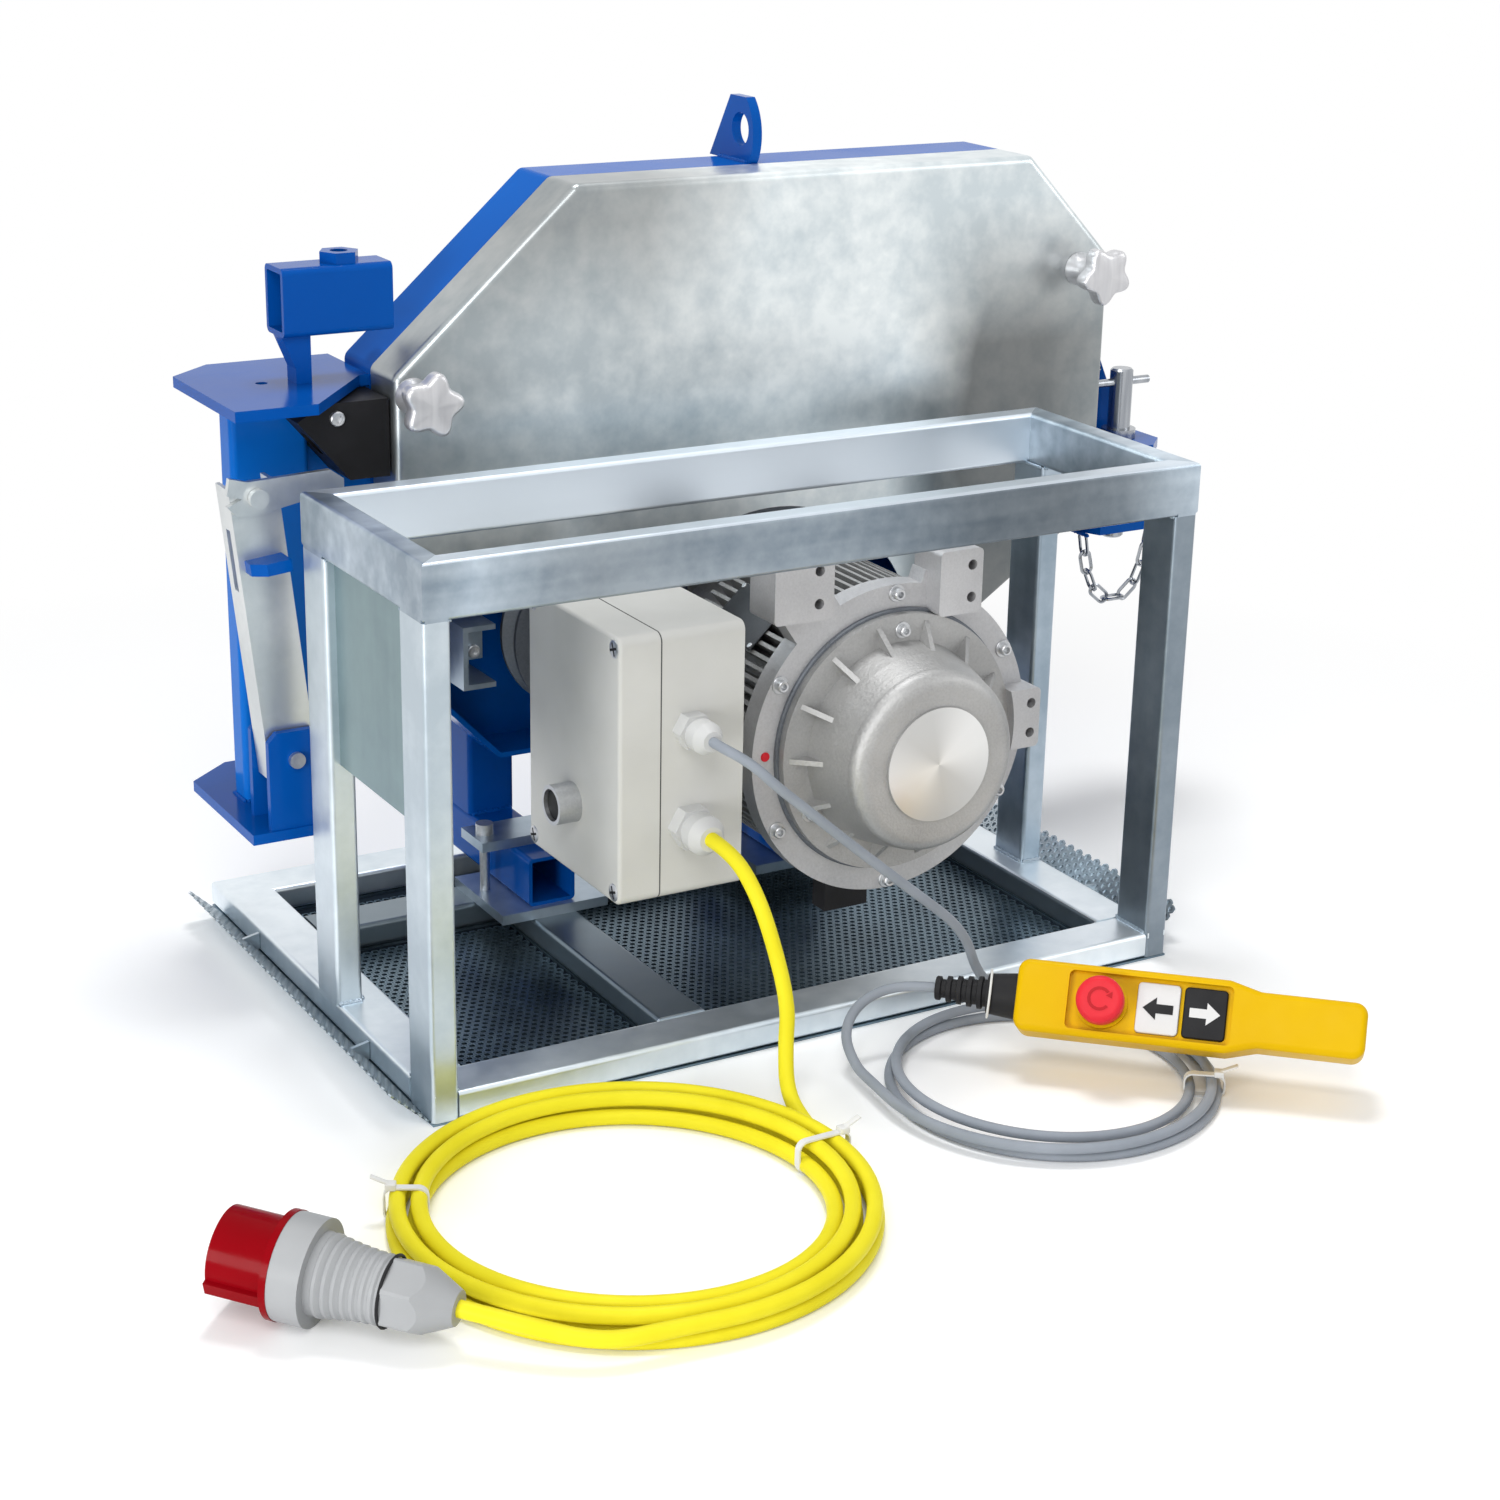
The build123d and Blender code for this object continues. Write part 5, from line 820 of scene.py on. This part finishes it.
boxScrews = {
    "face": 166, "y": (53, 182), "z": (123, 305),
    "slot": (9.9, 1.9, 0.5), "slotUp": 0.75, "slotTurns": (20, 110),
    "profile": ((0, 0.9), (5.6, 0.9), (6.6, 0.3), (6.6, -0.2), (0, -0.2)),
}
heads, slots = [], []
for y in boxScrews["y"]:
    for z in boxScrews["z"]:
        seat = move((boxScrews["face"], y, z)) @ faceLeft
        heads.append((turned(boxScrews["profile"], 28), seat))
        # painted shade: black strips on each head stand in for the shaded cross recess
        for turn in boxScrews["slotTurns"]:
            slotSeat = seat @ turnAbout("Z", turn) @ move((0, 0, boxScrews["slotUp"]))
            slots.append((slab(boxScrews["slot"], 0.1, 1), slotSeat))
gather("lidScrews", brightSteel, heads)
gather("lidScrewSlotsPaintedShade", blackPlastic, slots, smooth=False)


def roundBand(width, height, rounding, depth, wall):  # a closed strap with rounded corners
    mesh = bmesh.new()
    outline = Matrix.Diagonal((width, height, 1, 1))
    bmesh.ops.create_grid(mesh, x_segments=1, y_segments=1, size=0.5, matrix=outline)
    rounded(mesh, mesh.verts[:], "VERTICES", rounding, 6)
    bmesh.ops.delete(mesh, geom=mesh.faces[:], context="FACES_ONLY")
    lift(mesh, bmesh.ops.extrude_edge_only(mesh, edges=mesh.edges[:]), depth)
    bmesh.ops.solidify(mesh, geom=mesh.faces[:], thickness=wall)
    bmesh.ops.recalc_face_normals(mesh, faces=mesh.faces)
    return mesh


lidSeal = {"band": (200.3, 145.3, 7.2, 0.9, 0.6), "at": (198.6, 117.5, 214)}
lidSeat = move(lidSeal["at"]) @ faceRight
gather("lidSeal", seamFinish, [(roundBand(*lidSeal["band"]), lidSeat)], smooth=False)
print("screws, plates and seals made")


# white ties round the coils
tie = {
    "wide": 5.6, "wall": 1.2, "corner": 7, "cornerShare": 0.36, "floorGap": 0.05,
    "head": (7, 4.6, 7.6), "headEdge": 0.7, "headIn": 5, "headUp": 0.6,
    "tail": (15, 1.3, 4.8), "tailEdge": 0.3, "tailTurn": 24, "tailAt": (7, 1.0, 0),
}
tied = (  # coil, angle, width, height, reach
    (mains, 152, 29.5, 24.2, 143.9), (mains, 1, 41, 24.2, 146), (lead, -37, 29.5, 17.4, 111.9),
)


def cableTie(coil, degrees, width, height, reach):
    x, y = polar(reach, degrees)
    middle = (coil["centre"][0] + x, coil["centre"][1] + y, height / 2 + tie["floorGap"])
    stands = move(middle) @ turnAbout("Z", degrees) @ turnAbout("X", 90)
    head = stands @ move((width / 2 - tie["headIn"], height / 2 + tie["headUp"], 0))
    tail = head @ turnAbout("Z", tie["tailTurn"]) @ move(tie["tailAt"])
    corner = min(height * tie["cornerShare"], tie["corner"])
    strap = roundBand(width, height, corner, tie["wide"], tie["wall"])
    return [
        (strap, stands @ move((0, 0, -tie["wide"] / 2))),
        (slab(tie["head"], tie["headEdge"]), head), (slab(tie["tail"], tie["tailEdge"]), tail),
    ]


ties = []
for row in tied:
    ties += cableTie(*row)
gather("cableTies", tiePlastic, ties)


# pendant: arrows, release mark and the wire round its sleeve
arrow = {
    "shaft": 6.6, "wide": 16, "head": 9.5, "long": 21.5, "thick": 0.3, "face": 41.0,
    "back": 101, "forward": 134,
}


def arrowShape():
    tip, tail = arrow["long"] / 2, -arrow["long"] / 2
    neck = tip - arrow["head"]
    shaft, wide = arrow["shaft"] / 2, arrow["wide"] / 2
    outline = (
        (tail, -shaft), (neck, -shaft), (neck, -wide), (tip, 0), (neck, wide), (neck, shaft), (tail, shaft),
    )
    return flatShape(outline, arrow["thick"])


backSeat = pendantSeat @ move((arrow["back"], 0, arrow["face"])) @ turnAbout("Z", 180)
forwardSeat = pendantSeat @ move((arrow["forward"], 0, arrow["face"]))
gather("backArrow", blackPlastic, [(arrowShape(), backSeat)], "key_back", False)
gather("forwardArrow", keyWhite, [(arrowShape(), forwardSeat)], "key_forward", False)

release = {
    "at": (61, 0, 62), "inner": 6.4, "outer": 8.6, "sweep": (40, 320), "steps": 14, "thick": 0.35,
    "tip": ((5.0, -0.5), (10.4, -0.5), (7.6, -4.6)), "tipTurn": 36,
}


def arcMark():
    start, end = release["sweep"]
    turns = [start + (end - start) * index / release["steps"] for index in range(release["steps"] + 1)]
    outline = [polar(release["outer"], turn) for turn in turns]
    outline += [polar(release["inner"], turn) for turn in reversed(turns)]
    return flatShape(outline, release["thick"])


stopTop = pendantSeat @ move(release["at"])
tipShape = flatShape(release["tip"], release["thick"])
mark = [(arcMark(), stopTop), (tipShape, stopTop @ turnAbout("Z", release["tipTurn"]))]
gather("releaseMark", markRed, mark, "stop", False)


def wireRing(radius, wire):
    spots = [polar(wire, 45 * side) for side in range(9)]
    return turned([(radius + x, z) for x, z in spots], 40)


sleeve = {"at": (-21, 0, 22), "lean": 8, "radius": 17.2, "wire": 0.9}
sleeveSeat = pendantSeat @ move(sleeve["at"]) @ faceRight @ turnAbout("Y", sleeve["lean"])
gather("sleeveWire", tiePlastic, [(wireRing(sleeve["radius"], sleeve["wire"]), sleeveSeat)])

plugRing = {"along": 43, "radius": 21.8, "wire": 1.1}
plugTurn = move(plugSeat["end"]) @ turnAbout("Z", plugSeat["turn"]) @ turnAbout("Y", -plugSeat["tilt"])
ringSeat = plugTurn @ move((plugRing["along"], 0, 0)) @ faceRight
gather("plugRing", blackRubber, [(wireRing(plugRing["radius"], plugRing["wire"]), ringSeat)])
print("ties, arrows and rings made")


# weld beads where tubes and plates meet
bead = {"pitch": 0.75, "wobble": 0.22, "wave": 2.3, "sideways": 0.3}  # in parts of a bead's size


def weldRow(start, end, size):
    start, end = Vector(start), Vector(end)
    count = max(int((end - start).length / (size * bead["pitch"])), 1)
    row = []
    for number in range(count + 1):
        drop = bmesh.new()
        bmesh.ops.create_icosphere(drop, subdivisions=1, radius=size)
        wobble = size * bead["wobble"] * math.sin(number * bead["wave"])
        shift = Vector((wobble * bead["sideways"], wobble * bead["sideways"], wobble))
        row.append((drop, move(start.lerp(end, number / count) + shift)))
    return row


postWelds = {
    "x": (20.4, 609.6), "ends": ((2, 18), (612, 628)),
    "alongY": ((3, 37, 359.6, 1.5), (173, 207, 359.6, 1.5), (173, 207, 22.4, 1.9), (4, 37, 22.4, 1.7)),
    "alongX": ((169.6, 22.4, 1.9), (40.4, 22.4, 1.7), (40.4, 359.6, 1.5), (169.6, 359.6, 1.5)),
}
zincWelds = []
for x in postWelds["x"]:
    for front, rear, z, size in postWelds["alongY"]:
        zincWelds += weldRow((x, front, z), (x, rear, z), size)
for left, right in postWelds["ends"]:
    for y, z, size in postWelds["alongX"]:
        zincWelds += weldRow((left, y, z), (right, y, z), size)
gather("zincWelds", zincTube, zincWelds)

flushBlock = {"front": (16.6, 3.9), "side": (3.9, 33.5), "edge": 0.04}
flushWelds = {  # ground welds that fill the rounded edges where the posts meet the rails
    "lowFlushWelds": (zincBasePaintedLit, 18, 22.3, (2.0,)), "highFlushWelds": (zincRing, 359.7, 364, (2.0, 208.0)),
}
for name, (finish, low, high, faces) in flushWelds.items():
    rows = [(flushBlock["front"], x, y) for x in (10, 620) for y in faces]
    rows += [(flushBlock["side"], x, y) for x in (2.0, 628.0) for y in (20, 190)]
    flush = []
    for size, x, y in rows:
        block = slab((*size, high - low), flushBlock["edge"], 1)
        flush.append((block, move((x, y, (low + high) / 2))))
    gather(name, finish, flush)

blueRows = {
    "columnZ": (444.6, 137.4), "feetX": ((200, 232), (429, 461)), "eyeX": (419.6, 428.4),
    "forkZ": (258.6, 267.4, 325.6, 334.4),
}
blueWelds = []
for z in blueRows["columnZ"]:
    blueWelds += weldRow((-12, 307.6, z), (44, 307.6, z), 1.8)
    blueWelds += weldRow((-14.4, 310, z), (-14.4, 332, z), 1.8)
for left, right in blueRows["feetX"]:
    blueWelds += weldRow((left, 365.6, 70.6), (right, 365.6, 70.6), 2.2)
for x in blueRows["eyeX"]:
    blueWelds += weldRow((x, 322, 590.4), (x, 364, 590.4), 1.8)
for z in blueRows["forkZ"]:
    blueWelds += weldRow((748.4, 288, z), (748.4, 362, z), 1.8)
gather("blueWelds", blueEnamel, blueWelds)
print("welds laid")

place(*mains["gland"])
place(*lead["gland"])
